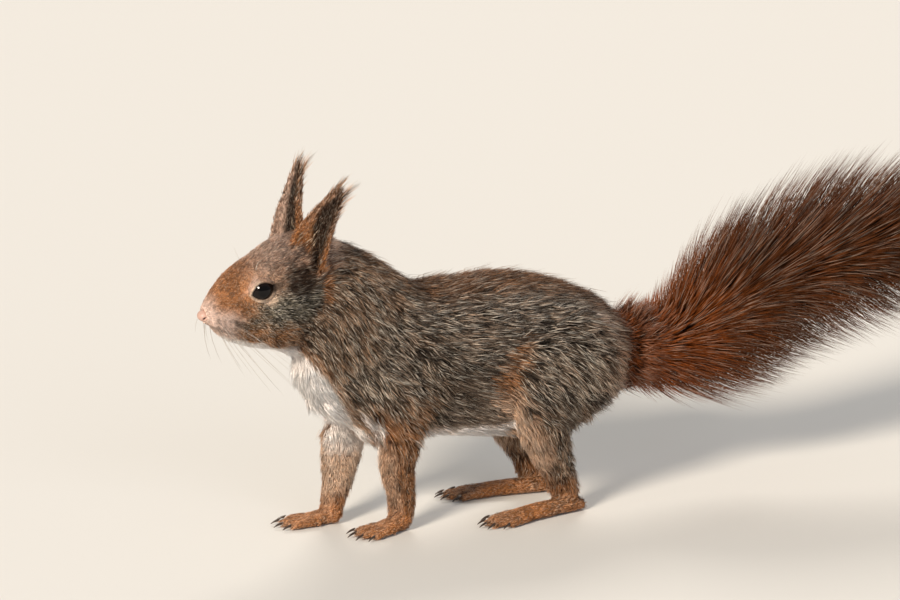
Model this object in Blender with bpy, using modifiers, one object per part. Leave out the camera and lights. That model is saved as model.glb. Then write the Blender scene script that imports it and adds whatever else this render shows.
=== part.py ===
"""A red squirrel at life size, standing on all fours with its tail carried behind it.

The body is modelled whole: lofted sections for the trunk, neck, head, tail and limbs are
merged into one smooth form, and that form is parted into head, neck, trunk, legs and tail
by thin cuts.  Ears, eyes, nose, feet and claws are modelled apart and set against it.
Every outline is taken at the tips of the coat.

Axes: the squirrel faces -X, its left side is -Y and up is +Z.  Stations are in millimetres
on a floor at Z = 0; MM turns them to metres.
"""

import math

import bmesh
import bpy
import numpy as np
from mathutils import Matrix, Vector

MM = 0.001
GAP = 0.5            # clearance between neighbouring sub-parts
LEG_GAP = 1.0        # clearance round the curved cuts at the tops of the legs
NAME = "red_squirrel"

# Sections along the body, front to back: x, z, reach above, reach below, half width.
TRUNK = (
    (-58, 60, 8, 8, 8),
    (-53, 62, 17, 18, 14.5),
    (-41, 66.5, 26, 30, 20),
    (-25, 69, 31, 37, 23.2),
    (-8, 67.5, 33, 33.5, 24.8),
    (8, 66, 34, 33.5, 25.8),
    (25, 65, 35, 34.5, 27.2),
    (40, 63.5, 33.5, 33.5, 28.5),
    (55, 61, 30.5, 30.5, 28.2),
    (68, 59, 26, 26, 25),
    (78, 57.5, 17.5, 18, 17.5),
    (84, 57, 8, 9, 9),
)
NECK = (
    (-70, 105, 12, 10, 8),
    (-60, 102.5, 22.5, 20, 15.5),
    (-46, 95, 25.5, 25, 19.8),
    (-30, 82, 27, 32, 23.5),
    (-14, 71, 29, 31, 25),
)

# The head, from the nose back: distance behind the nose, top, bottom, widest height,
# half width; heights are from the level of the nose.
NOSE_X = -102
NOSE_Z = 97.2
HEAD = (
    (0.6, 2.0, -4.0, -1.2, 2.7),
    (2, 3.8, -5.2, -1.4, 4.4),
    (5, 7.6, -7.0, -1.8, 6.4),
    (9, 12.3, -11.0, -2.5, 8.4),
    (13, 16.4, -13.6, -2.5, 10.0),
    (18, 19.6, -15.4, -1.5, 11.6),
    (23, 22.0, -16.8, -1.0, 13.3),
    (29, 25.2, -18.0, -1.0, 15.8),
    (35, 27.4, -18.8, -0.5, 17.2),
    (41, 27.8, -18.5, 1.0, 17.4),
    (47, 27.2, -16.5, 2.0, 16.6),
    (53, 25.0, -12.0, 3.5, 14.8),
    (58, 18.0, -5.0, 5.0, 9.5),
)

# The tail's fur, from its root to its tip: x, z, reach above, reach below, half width.
TAIL = (
    (70, 66, 12, 12, 11),
    (84, 61, 12.5, 13.5, 11.8),
    (96, 60, 14.5, 17, 14),
    (108, 63, 18.5, 27, 18),
    (120, 69, 25, 38, 22),
    (133, 76, 31.5, 41, 24),
    (150, 82.5, 34.5, 39.5, 24.5),
    (168, 87.5, 35, 38.5, 24.5),
    (186, 90.5, 35, 37.5, 24),
    (205, 92.5, 33, 35.5, 22.5),
    (225, 94.5, 30, 31, 20),
    (243, 96.5, 25, 26, 17),
    (258, 98.5, 17.5, 18, 12.5),
    (268, 100.2, 9.5, 10, 7),
    (274, 101.4, 3, 3, 2.5),
)
TAIL_CUTS = (86, 112, 142, 172, 204, 238)    # x of each cut across the tail's centre line

# Limb sections, top to bottom: x, y, z, reach back, reach forward, half width.
# y is for the left leg; the right leg mirrors it.
FORELEG = {
    "left": (
        (-22, -17, 66, 17, 17, 9),
        (-20, -16, 50, 13, 13, 8.5),
        (-20.5, -14, 38, 9.5, 9.5, 7.5),
        (-21, -12.5, 28, 8, 8, 6.6),
        (-19, -11.2, 18, 6.6, 6.6, 5.6),
        (-18, -10.5, 10, 5.6, 5.6, 4.9),
        (-18.5, -10.2, 3, 5, 5, 4.6),
    ),
    "right": (
        (-27, -17, 66, 17, 17, 9),
        (-29, -16, 50, 13, 13, 8.5),
        (-32.5, -13.5, 38, 10, 10, 7.5),
        (-35, -11.8, 26, 8.6, 8.6, 6.6),
        (-37.5, -10.4, 16, 6.4, 6.4, 5.4),
        (-39.3, -9.8, 9, 5.2, 5.2, 4.7),
        (-40, -9.6, 3, 4.8, 4.8, 4.5),
    ),
}
HIND_LEG = (
    (40, -21, 70, 20, 20, 8),
    (35, -23, 56, 16, 14, 8.5),
    (37.5, -22.5, 42, 13, 11, 8),
    (43, -19.5, 29, 9.5, 9.5, 7),
    (48.5, -17, 18, 7, 7.4, 5.6),
    (51.5, -15.5, 10, 6, 6, 5),
    (53, -15, 4, 5, 5, 4.6),
)

# Muscle and bone under the coat: centre, radii, pitch in degrees about Y.
LUMPS = (
    ("thigh", (48, -19.5, 62), (29, 12, 26), -18),
    ("shoulder", (-24, -15.5, 68), (18, 9, 25), 14),
    ("cheek", (-69, -9.2, 91), (12, 7.4, 10), 18),
    ("whisker_pad", (-92.2, -4.8, 93), (6.4, 3.7, 5.0), 20),
    ("brow", (-76.5, -8.2, 111.5), (9, 4.4, 4.6), -20),
    ("throat", (-61, -3, 86.5), (14, 8.5, 11.5), 0),
)

EYE_BEHIND = 23.8    # behind the nose
EYE_ABOVE = 9.6      # above the nose
EYE_OUT = 9.1        # from the midline to the eyeball's centre
EYE_RADIUS = 5.4

EAR_ROOT = (-61.5, -11.0, 116.0)
EAR_LENGTH = 32.0
EAR_TUFT = 9.0
EAR_LEAN_OUT = 14.0      # degrees from upright
EAR_LEAN_BACK = {"left": 8.0, "right": 16.0}
EAR_CURL_BACK = {"left": 32.0, "right": 15.0}      # further lean gained towards the tip
EAR_FACING = {"left": 32.0, "right": 4.0}          # degrees outward from straight ahead
EAR_THICK = 1.9
# Along the ear: share of its length, half width, depth of the cup.
EAR_SHAPE = (
    (0.00, 6.2, 5.6),
    (0.14, 7.6, 5.8),
    (0.34, 7.9, 5.0),
    (0.58, 6.5, 3.8),
    (0.80, 4.3, 2.4),
    (0.95, 2.2, 1.2),
)

# Feet: ankle place and heading in degrees outward from straight ahead.
FOREFEET = {"left": ((-18.5, -10.2), 14), "right": ((-40.0, -9.6), 10)}
HINDFOOT = ((53.0, -15.0), 10)
# Toes, inner to outer: fan angle in degrees, length.
TOES = {
    "fore": ((-22, 9.5), (-8, 12.0), (7, 12.0), (21, 9.0)),
    "hind": ((-24, 9.5), (-11, 13.5), (0, 15.0), (11, 13.8), (24, 8.5)),
}
# Sections of the palm, heel to toes: distance ahead of the ankle, middle height,
# reach above and below the middle, half width.
PALM = {
    "fore": ((-3.0, 2.4, 2.2, 3.0), (-1.2, 3.2, 3.4, 4.4), (2.1, 3.2, 3.4, 4.4),
             (5.1, 2.9, 2.9, 5.1), (8.5, 2.4, 2.3, 5.4), (10.9, 2.0, 1.6, 4.3)),
    "hind": ((-7.5, 2.4, 2.2, 3.0), (-3.0, 3.2, 3.4, 4.4), (6.0, 3.2, 3.4, 4.8),
             (14.4, 2.9, 2.9, 5.5), (24.0, 2.4, 2.3, 5.8), (26.4, 2.0, 1.6, 4.6)),
}
TOE_ROOTS = {"fore": (8.5, 4.2), "hind": (24.0, 4.5)}    # ahead of the ankle, half spread
TOE_SPLAY = 0.55             # how much of its fan angle a toe is turned by
TOE_RADIUS = 1.75
# Along a toe: share of its length, height and radius in toe radii.
TOE_SHAPE = ((-0.35, 0.9, 1.1), (0.1, 1.15, 1.1), (0.45, 1.0, 1.0),
             (0.75, 0.75, 1.05), (0.95, 0.6, 0.85), (1.06, 0.5, 0.4))
FOOT_TOP = {"fore": 9.0, "hind": 10.0}       # height of the cut above each foot
FOOT_TRIANGLES = {"fore": 380, "hind": 430}
SOLE_SLACK = 0.05
CLAW_LENGTH = 5.0
CLAW_RADIUS = 0.75
CLAW_BEND = 0.9              # radians from root to tip
CLAW_DROP = 0.75             # how far it hooks down, against a true circle

FUR = {                      # colour, roughness, metallic
    "grey_brown": ((0.20, 0.13, 0.085), 0.85, 0.0),
    "red_brown": ((0.30, 0.13, 0.055), 0.85, 0.0),
    "chestnut": ((0.22, 0.07, 0.025), 0.85, 0.0),
    "rufous": ((0.42, 0.18, 0.06), 0.85, 0.0),
    "nose_skin": ((0.42, 0.24, 0.20), 0.5, 0.0),
    "claw_horn": ((0.06, 0.045, 0.035), 0.35, 0.0),
    "eye": ((0.006, 0.004, 0.003), 0.05, 0.0),
}

SIDES = {"left": 1, "right": -1}     # sign that turns a left-hand y into this side's y

# Where the form turns from plain to detailed, and how finely the whole body is kept.
HEAD_BACK = -50      # x
SHANK_LEVEL = 34     # z
TAIL_ROOT = 84       # x
BODY_TRIANGLES = 3150


# ---------------------------------------------------------------- small tools

def empty_scene():
    for obj in list(bpy.data.objects):
        bpy.data.objects.remove(obj, do_unlink=True)
    model = bpy.data.collections.new(NAME)
    bpy.context.scene.collection.children.link(model)
    return model


def material(kind):
    found = bpy.data.materials.get(kind)
    if found:
        return found
    colour, roughness, metallic = FUR[kind]
    made = bpy.data.materials.new(kind)
    made.use_nodes = True
    shader = made.node_tree.nodes["Principled BSDF"]
    shader.inputs["Base Color"].default_value = (*colour, 1)
    shader.inputs["Roughness"].default_value = roughness
    shader.inputs["Metallic"].default_value = metallic
    return made


def spline(rows, steps):
    """Catmull-Rom points through the rows, with this many steps between each two."""
    rows = np.array(rows, float)
    padded = np.vstack([2 * rows[0] - rows[1], rows, 2 * rows[-1] - rows[-2]])
    out = []
    for a, b, c, d in zip(padded[:-3], padded[1:-2], padded[2:-1], padded[3:]):
        for k in range(steps):
            t = k / steps
            out.append(0.5 * (2 * b + (c - a) * t + (2 * a - 5 * b + 4 * c - d) * t * t
                              + (3 * b - a - 3 * c + d) * t ** 3))
    out.append(rows[-1])
    return np.array(out)


def mesh_object(name, bm, smooth=True):
    bmesh.ops.recalc_face_normals(bm, faces=bm.faces)
    mesh = bpy.data.meshes.new(name)
    bm.to_mesh(mesh)
    bm.free()
    if smooth:
        mesh.shade_smooth()
    obj = bpy.data.objects.new(name, mesh)
    bpy.context.scene.collection.objects.link(obj)
    return obj


def loft(name, rings):
    """A closed tube through rings of points, given in mm, with a flat cap at each end."""
    bm = bmesh.new()
    loops = [[bm.verts.new(Vector(p) * MM) for p in ring] for ring in rings]
    sides = len(loops[0])
    for near, far in zip(loops, loops[1:]):
        for i in range(sides):
            j = (i + 1) % sides
            bm.faces.new((near[i], near[j], far[j], far[i]))
    bm.faces.new(loops[0])
    bm.faces.new(loops[-1])
    return mesh_object(name, bm)


def section(centre, along, above, below, half, sides=28, power=2.15):
    """One ring across a path: a rounded oval with its own reach above and below."""
    along = Vector(along).normalized()
    side = Vector((0, 1, 0))
    side = (side - along * side.dot(along)).normalized()
    up = along.cross(side)
    ring = []
    for k in range(sides):
        angle = 2 * math.pi * k / sides
        c, s = math.cos(angle), math.sin(angle)
        across = math.copysign(abs(c) ** (2 / power), c) * half
        rise = math.copysign(abs(s) ** (2 / power), s) * (above if s > 0 else below)
        ring.append(Vector(centre) + side * across + up * rise)
    return ring


def body_tube(name, rows, steps=4):
    """A tube on the midline from rows of x, z, reach above, reach below, half width."""
    rows = spline(rows, steps)
    ways = np.gradient(rows[:, :2], axis=0)
    rings = [section((x, 0, z), (wx, 0, wz), up, down, half)
             for (x, z, up, down, half), (wx, wz) in zip(rows, ways)]
    return loft(name, rings)


def head_tube(name):
    rings = []
    for behind, top, bottom, middle, half in spline(HEAD, 4):
        centre = (NOSE_X + behind, 0, NOSE_Z + middle)
        rings.append(section(centre, (1, 0, 0), top - middle, middle - bottom, half, power=2.1))
    return loft(name, rings)


def limb_tube(name, rows, mirror, grow=0.0, steps=4, sides=20):
    rows = spline(rows, steps)
    rows[:, 1] *= mirror
    ways = np.gradient(rows[:, :3], axis=0)
    rings = [section((x, y, z), way, back + grow, front + grow, half + grow, sides)
             for (x, y, z, back, front, half), way in zip(rows, ways)]
    return loft(name, rings)


def ball(name, centre, radii, pitch=0.0, segments=20):
    bm = bmesh.new()
    bmesh.ops.create_uvsphere(bm, u_segments=segments, v_segments=segments // 2, radius=1)
    turn = Matrix.Rotation(math.radians(pitch), 4, "Y")
    place = Matrix.Translation(Vector(centre) * MM) @ turn
    bmesh.ops.transform(bm, matrix=place @ Matrix.Diagonal((*(r * MM for r in radii), 1)),
                        verts=bm.verts)
    return mesh_object(name, bm)


def slab(name, point, way, shift=0.0, reach=400.0):
    """A big block that holds everything beyond a plane; shift moves the plane back."""
    way = Vector(way).normalized()
    bm = bmesh.new()
    bmesh.ops.create_cube(bm, size=reach * MM)
    turn = way.to_track_quat("Z", "Y").to_matrix().to_4x4()
    middle = Vector(point) + way * (reach / 2 - shift)
    bmesh.ops.transform(bm, matrix=Matrix.Translation(middle * MM) @ turn, verts=bm.verts)
    return mesh_object(name, bm, smooth=False)


def evaluated(obj):
    """The object's mesh with its modifiers applied; the object keeps its name."""
    graph = bpy.context.evaluated_depsgraph_get()
    mesh = bpy.data.meshes.new_from_object(obj.evaluated_get(graph))
    obj.modifiers.clear()
    obj.data = mesh
    return obj


def copy_of(obj, name):
    made = bpy.data.objects.new(name, obj.data.copy())
    bpy.context.scene.collection.objects.link(made)
    return made


def drop(*objects):
    for obj in objects:
        bpy.data.objects.remove(obj, do_unlink=True)


def cut(obj, operation, *others):
    """Boolean each of the others into obj, one after another."""
    for other in others:
        step = obj.modifiers.new("cut", "BOOLEAN")
        step.operation = operation
        step.solver = "EXACT"
        step.object = other
        bpy.context.view_layer.update()
        evaluated(obj)
    return obj


def grown(obj, name, by=GAP):
    """A copy of the object whose surface stands out by this many mm."""
    made = copy_of(obj, name)
    bm = bmesh.new()
    bm.from_mesh(made.data)
    bm.normal_update()
    moves = [(v, v.normal.copy()) for v in bm.verts]
    for vert, normal in moves:
        vert.co += normal * by * MM
    bm.to_mesh(made.data)
    bm.free()
    return made


def merged(name, pieces, voxel, smooth_steps, triangles, spare=None):
    """One smooth body from overlapping pieces, thinned to about this many triangles."""
    bm = bmesh.new()
    for piece in pieces:
        bm.from_mesh(piece.data)
    drop(*pieces)
    whole = mesh_object(name, bm)
    remesh = whole.modifiers.new("remesh", "REMESH")
    remesh.mode = "VOXEL"
    remesh.voxel_size = voxel * MM
    soften = whole.modifiers.new("soften", "SMOOTH")
    soften.factor = 0.5
    soften.iterations = smooth_steps
    bpy.context.view_layer.update()
    evaluated(whole)
    thin = whole.modifiers.new("thin", "DECIMATE")
    faces = sum(len(p.vertices) - 2 for p in whole.data.polygons)
    thin.ratio = triangles / faces
    if spare:
        group = whole.vertex_groups.new(name="plain")
        for vert in whole.data.vertices:
            group.add([vert.index], spare(vert.co / MM), "REPLACE")
        thin.vertex_group = "plain"
        thin.vertex_group_factor = 1.0
    bpy.context.view_layer.update()
    return evaluated(whole)


# ---------------------------------------------------------------- the whole body

def sided(point, side):
    x, y, z = point
    return (x, y * SIDES[side], z)


def leg_rows(leg, side):
    return FORELEG[side] if leg == "fore" else HIND_LEG


def plain_weight(point):
    """How plain the form is here: trunk and tail are, head and lower legs aren't."""
    x, _, z = point
    if x < HEAD_BACK or z < SHANK_LEVEL:
        return 0.3
    return 0.72 if x > TAIL_ROOT else 0.5


def whole_body():
    pieces = [body_tube("trunk_tube", TRUNK), body_tube("neck_tube", NECK),
              body_tube("tail_tube", TAIL), head_tube("head_tube")]
    for side, sign in SIDES.items():
        for leg in ("fore", "hind"):
            pieces.append(limb_tube("limb", leg_rows(leg, side), sign))
        for name, centre, radii, pitch in LUMPS:
            pieces.append(ball(name, sided(centre, side), radii, pitch))
    return merged("whole_body", pieces, voxel=1.1, smooth_steps=8,
                  triangles=BODY_TRIANGLES, spare=plain_weight)


# ---------------------------------------------------------------- where it is parted

CUTTER_SIDES = 12
# The share of a cut part's triangles that is kept; limbs meet at curved cuts and keep more.
KEPT_SHARE = {"head": 0.75, "neck": 0.65, "tail": 0.6, "trunk": 1.0, "foreleg": 1.0, "hindleg": 1.0}
# Each cut plane: a point on it, and the direction that leads into the part beyond it.
HEAD_CUT = ((-53, 0, 104), (-0.80, 0, 0.60))
NECK_CUT = ((-33, 0, 81), (-0.74, 0, 0.67))
# Ovals that take the upper legs out of the flanks: centre, radii, pitch.
LEG_OVALS = {
    "upper_arm_left": ((-23, -27, 60), (20, 17, 27), 8),
    "upper_arm_right": ((-27, -27, 60), (20, 17, 27), 8),
    "thigh": ((46, -30, 57), (31, 17, 27), -14),
}
LOWER_LEG_TOP = {"fore": 38, "hind": 42}
SLEEVE_ROOM = 3.5            # how far a sleeve stands off the leg in it
TRUNK_BOTTOM = 12            # below this nothing belongs to the trunk


def tail_plane(x):
    """A point of the tail's centre line and the direction of the tail there."""
    rows = spline(TAIL, 8)
    k = int(np.argmin(abs(rows[:, 0] - x)))
    way = rows[k + 1, :2] - rows[k - 1, :2]
    return (rows[k, 0], 0, rows[k, 1]), (way[0], 0, way[1])


def oval_zone(name, side, grow):
    centre, radii, pitch = LEG_OVALS[name]
    return ball(name, sided(centre, side), [r + grow for r in radii], pitch, CUTTER_SIDES)


def foreleg_zone(side, grow=0.0):
    """The shoulder and upper arm: an oval cut into the chest's side."""
    return oval_zone(f"upper_arm_{side}", side, grow)


def thigh_zone(side, grow=0.0):
    return oval_zone("thigh", side, grow)


def sleeve_zone(leg, side, grow):
    """A sleeve round the lower length of a leg."""
    rows = [row for row in leg_rows(leg, side) if row[2] <= LOWER_LEG_TOP[leg]]
    return limb_tube("sleeve", rows, SIDES[side], SLEEVE_ROOM + grow, 1, CUTTER_SIDES)


def forearm_zone(side, grow=0.0):
    return sleeve_zone("fore", side, grow)


def shank_zone(side, grow=0.0):
    return sleeve_zone("hind", side, grow)


def part_of(whole, name, zone, *without):
    piece = copy_of(whole, name)
    cut(piece, "INTERSECT", zone)
    cut(piece, "DIFFERENCE", *without)
    drop(zone, *without)
    return piece


def thinned(obj, share):
    """Drop the slivers that a cut leaves: they go before anything that shapes the surface."""
    step = obj.modifiers.new("thin", "DECIMATE")
    step.ratio = share
    bpy.context.view_layer.update()
    return evaluated(obj)


def part_body(whole):
    parts = {}
    foot_top = {leg: slab("foot_top", (0, 0, FOOT_TOP[leg]), (0, 0, 1)) for leg in FOOT_TOP}
    head_side = dict(zip(("point", "way"), HEAD_CUT))
    parts["head"] = part_of(whole, "head", slab("head_zone", **head_side))
    parts["neck"] = part_of(
        whole, "neck", slab("neck_zone", *NECK_CUT),
        slab("off_head", **head_side, shift=GAP),
        *(foreleg_zone(side, LEG_GAP) for side in SIDES))
    for side in SIDES:
        upper, lower = f"foreleg_upper_{side}", f"foreleg_forearm_{side}"
        parts[upper] = part_of(whole, upper, foreleg_zone(side), forearm_zone(side, LEG_GAP))
        parts[lower] = cut(part_of(whole, lower, forearm_zone(side)), "INTERSECT",
                           foot_top["fore"])
        upper, lower = f"hindleg_thigh_{side}", f"hindleg_shank_{side}"
        parts[upper] = part_of(whole, upper, thigh_zone(side), shank_zone(side, LEG_GAP))
        parts[lower] = cut(part_of(whole, lower, shank_zone(side)), "INTERSECT",
                           foot_top["hind"])
    drop(*foot_top.values())
    for number, x in enumerate(TAIL_CUTS, 1):
        name = f"tail_{number}"
        beyond = TAIL_CUTS[number] if number < len(TAIL_CUTS) else None
        rest = [slab("tail_rest", *tail_plane(beyond), shift=GAP)] if beyond else []
        parts[name] = part_of(whole, name, slab("tail_zone", *tail_plane(x)), *rest)
    limits = [slab("off_feet", (0, 0, TRUNK_BOTTOM), (0, 0, -1)),
              slab("off_neck", *NECK_CUT, shift=GAP),
              slab("off_tail", *tail_plane(TAIL_CUTS[0]), shift=GAP)]
    for side in SIDES:
        limits += [foreleg_zone(side, LEG_GAP), forearm_zone(side, LEG_GAP),
                   thigh_zone(side, LEG_GAP), shank_zone(side, LEG_GAP)]
    parts["trunk"] = cut(copy_of(whole, "trunk"), "DIFFERENCE", *limits)
    drop(whole, *limits)
    for name, obj in parts.items():
        thinned(obj, KEPT_SHARE[name.split("_")[0]])
    return parts


# ---------------------------------------------------------------- ears, eyes and nose

def ear_way(side, share):
    """The direction in which the ear's middle line runs at this share of its length."""
    back = math.radians(EAR_LEAN_BACK[side] + EAR_CURL_BACK[side] * share)
    out = math.radians(EAR_LEAN_OUT)
    return Vector((math.sin(back), -SIDES[side] * math.sin(out), math.cos(back))).normalized()


def ear(side):
    """A cupped pinna that leans back and out, drawn out at the tip into a tuft."""
    facing = math.radians(EAR_FACING[side])
    ahead = Vector((-math.cos(facing), -SIDES[side] * math.sin(facing), 0))
    full = EAR_LENGTH + EAR_TUFT
    rows = [(share * EAR_LENGTH, half, cup, EAR_THICK) for share, half, cup in EAR_SHAPE]
    rows += [(EAR_LENGTH, 1.7, 0.8, 1.6), (0.5 * (EAR_LENGTH + full), 1.2, 0.4, 1.1),
             (full, 0.5, 0.1, 0.5)]
    arc = [math.radians(a) for a in range(-78, 79, 26)]
    rings, centre, last = [], Vector(sided(EAR_ROOT, side)), 0.0
    for height, half, cup, thick in rows:
        up = ear_way(side, height / full)
        centre = centre + up * (height - last)
        last = height
        front = (ahead - up * ahead.dot(up)).normalized()
        across = up.cross(front)
        outer = [centre + across * half * math.sin(a) - front * cup * math.cos(a) for a in arc]
        inner = [centre + across * (half - thick * 0.5) * math.sin(a)
                 + front * (thick - cup * math.cos(a)) for a in reversed(arc)]
        rings.append(outer + inner)
    return loft(f"ear_{side}", rings)


def eye_place(side):
    return sided((NOSE_X + EYE_BEHIND, -EYE_OUT, NOSE_Z + EYE_ABOVE), side)


def eyeball(name, side, grow=0.0):
    return ball(name, eye_place(side), (EYE_RADIUS + grow,) * 3, segments=14)


def nose_pad(name, grow=0.0):
    """The bare pad at the end of the muzzle."""
    return ball(name, (NOSE_X + 2.3, 0, NOSE_Z - 1.2),
                (2.7 + grow, 3.1 + grow, 2.6 + grow), 25, segments=12)


def finish_head(head):
    cutters = [nose_pad("nose_cut", GAP)]
    cutters += [eyeball("eye_cut", side, GAP) for side in SIDES]
    cut(head, "DIFFERENCE", *cutters)
    drop(*cutters)


# ---------------------------------------------------------------- feet

def heading_of(angle):
    """The level direction at this angle from straight ahead, and the one across it."""
    way = Vector((-math.cos(angle), math.sin(angle), 0))
    return way, Vector((way.y, -way.x, 0))


def rounds(count):
    return [2 * math.pi * k / count for k in range(count)]


def toe(start, angle, length):
    """A slim furred toe: it arches up from the palm and comes down at its tip."""
    way, side = heading_of(angle)
    rings = []
    for share, height, size in TOE_SHAPE:
        centre = Vector(start) + way * length * share
        centre.z = TOE_RADIUS * height
        radius = TOE_RADIUS * size
        rings.append([centre + side * radius * math.cos(a) + Vector((0, 0, radius)) * math.sin(a)
                      for a in rounds(10)])
    return loft("toe", rings)


def claw(name, start, angle):
    """A narrow hooked claw."""
    way, side = heading_of(angle)
    rings = []
    for share in (0.0, 0.4, 0.75, 1.0):
        bend = share * CLAW_BEND
        radius = CLAW_RADIUS * (1 - 0.78 * share ** 1.5)
        centre = Vector(start) + way * CLAW_LENGTH * math.sin(bend) / CLAW_BEND
        centre.z = 1.15 * TOE_RADIUS - CLAW_LENGTH * (1 - math.cos(bend)) / CLAW_BEND * CLAW_DROP
        up = Vector((way.x * math.sin(bend), way.y * math.sin(bend), math.cos(bend)))
        rings.append([centre + side * radius * 0.7 * math.cos(a) + up * radius * math.sin(a)
                      for a in rounds(6)])
    return loft(name, rings)


def palm(kind, ankle, ahead, right):
    """The foot behind its toes, flat underneath once the floor is cut away."""
    rings = []
    for distance, middle, reach, half in spline(PALM[kind], 3):
        centre = ankle + ahead * distance
        below = middle + 0.5
        ring = []
        for a in rounds(16):
            rise = (reach if math.sin(a) > 0 else below) * math.sin(a)
            ring.append(centre + right * half * math.cos(a) + Vector((0, 0, middle + rise)))
        rings.append(ring)
    return loft("palm", rings)


def level_sole(body):
    """Put back on the floor what thinning left just above it."""
    for vert in body.data.vertices:
        if vert.co.z < SOLE_SLACK * MM:
            vert.co.z = 0.0


def foot(kind, side):
    """A foot with its toes and claws, as [(node name, object)], the foot first."""
    sign = SIDES[side]
    (x, y), turn = FOREFEET[side] if kind == "fore" else HINDFOOT
    heading = -sign * math.radians(turn)
    ahead, right = heading_of(heading)
    ankle = Vector((x, y * sign, 0))
    root, spread = TOE_ROOTS[kind]
    widest = max(fan for fan, _ in TOES[kind])
    pieces = [palm(kind, ankle, ahead, right),
              limb_tube("ankle", leg_rows(kind, side)[-3:], sign)]
    claws = []
    for number, (fan, length) in enumerate(TOES[kind], 1):
        start = ankle + ahead * root - right * sign * spread * fan / widest
        angle = heading - sign * math.radians(fan * TOE_SPLAY)
        pieces.append(toe(start, angle, length))
        tip = start + heading_of(angle)[0] * length * 0.97
        claws.append(claw(f"claw_{kind}_{side}_{number}", tip, angle))
    name = f"{kind}foot_{side}"
    body = merged(name, pieces, voxel=0.6, smooth_steps=2, triangles=FOOT_TRIANGLES[kind])
    top = slab("foot_zone", (0, 0, FOOT_TOP[kind] - GAP), (0, 0, -1))
    floor = slab("floor_zone", (0, 0, 0), (0, 0, -1))
    cut(body, "INTERSECT", top)
    cut(body, "DIFFERENCE", floor)
    drop(top, floor)
    level_sole(thinned(body, 0.8))
    clear = grown(body, "clear")
    for one in claws:
        cut(one, "DIFFERENCE", clear)
    drop(clear)
    return [(name, body)] + [(one.name, one) for one in claws]


# ---------------------------------------------------------------- assembly

def colour_of(name):
    if name.startswith("tail"):
        return "chestnut"
    if name.startswith("claw"):
        return "claw_horn"
    if name.startswith("eye"):
        return "eye"
    if name == "nose":
        return "nose_skin"
    if "foot" in name or "forearm" in name:
        return "rufous"
    return "red_brown" if name in ("head", "neck") or name.startswith("ear") else "grey_brown"


def settle(parts, model):
    """Centre the model over its box's bottom and file each part under its own name."""
    points = np.vstack([[v.co for v in obj.data.vertices] for obj in parts.values()])
    low, high = points.min(0), points.max(0)
    shift = Vector((*(-(low + high) / 2)[:2], -low[2]))
    for name, obj in parts.items():
        obj.data.transform(Matrix.Translation(shift))
        obj.name = name
        obj.data.name = name
        obj.data.materials.clear()
        obj.data.materials.append(material(colour_of(name)))
        for holder in list(obj.users_collection):
            holder.objects.unlink(obj)
        model.objects.link(obj)


def build():
    model = empty_scene()
    parts = part_body(whole_body())
    finish_head(parts["head"])
    clear = grown(parts["head"], "clear")
    for side in SIDES:
        parts[f"eye_{side}"] = eyeball(f"eye_{side}", side)
        parts[f"ear_{side}"] = cut(ear(side), "DIFFERENCE", clear)
        for kind in ("fore", "hind"):
            parts.update(foot(kind, side))
    parts["nose"] = nose_pad("nose")
    drop(clear)
    settle(parts, model)


build()
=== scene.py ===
"""A red squirrel at life size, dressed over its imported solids.

One skin stands for every length of flesh.  It is grown from the solids, drawn in by the depth
of the coat and given lids, lips and folds.  Over it lie tufts of hair that follow the lie of
the coat.  Eyes, nose, claws and whiskers are pieces of their own.

Work is done in millimetres from the squirrel's own zero, a point of the floor under its
chest; MM and ZERO bring it to the frame's metres.  The squirrel faces -X, its left side is
-Y and up is +Z.
"""

import itertools
import math

import bmesh
import bpy
import numpy as np
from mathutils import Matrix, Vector
from mathutils.kdtree import KDTree


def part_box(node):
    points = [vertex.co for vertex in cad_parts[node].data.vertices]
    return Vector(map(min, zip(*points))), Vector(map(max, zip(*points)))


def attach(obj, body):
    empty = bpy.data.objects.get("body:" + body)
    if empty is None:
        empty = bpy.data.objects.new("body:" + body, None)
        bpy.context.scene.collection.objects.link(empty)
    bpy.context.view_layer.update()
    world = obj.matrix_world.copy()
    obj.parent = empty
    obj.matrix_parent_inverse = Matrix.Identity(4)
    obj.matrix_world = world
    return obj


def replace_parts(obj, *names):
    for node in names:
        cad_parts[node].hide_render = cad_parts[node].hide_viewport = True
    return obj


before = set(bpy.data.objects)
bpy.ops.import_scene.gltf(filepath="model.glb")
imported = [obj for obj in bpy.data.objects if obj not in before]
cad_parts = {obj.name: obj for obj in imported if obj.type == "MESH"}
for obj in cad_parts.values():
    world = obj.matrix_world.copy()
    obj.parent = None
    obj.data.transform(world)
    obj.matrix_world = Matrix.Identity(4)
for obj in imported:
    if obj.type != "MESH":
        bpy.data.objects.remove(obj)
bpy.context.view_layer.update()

MM = 0.001
SIDES = {"left": -1, "right": 1}      # the sign of y on each side
SIDEWAYS = np.array((0.0, 1.0, 0.0))

# Each random draw starts from a number of its own.
SEED = 11
TAIL_SEED = SEED + 20
EAR_SEED = SEED + 30
WHISKER_SEED = SEED + 50

# The nose pad's middle is 99.7 mm ahead of the squirrel's zero and 96 mm up.
NOSE = np.array((-99.7, 0.0, 96.0))
ZERO = np.array(sum(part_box("nose"), Vector())) / 2 / MM - NOSE

FLESH = [name for name in sorted(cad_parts) if not name.startswith(("eye", "claw", "nose"))]
CLAWS = [name for name in sorted(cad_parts) if name.startswith("claw")]
BODY = [name for name in FLESH if not name.startswith(("ear", "tail"))]


# ---------------------------------------------------------------- sizes of the squirrel

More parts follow.
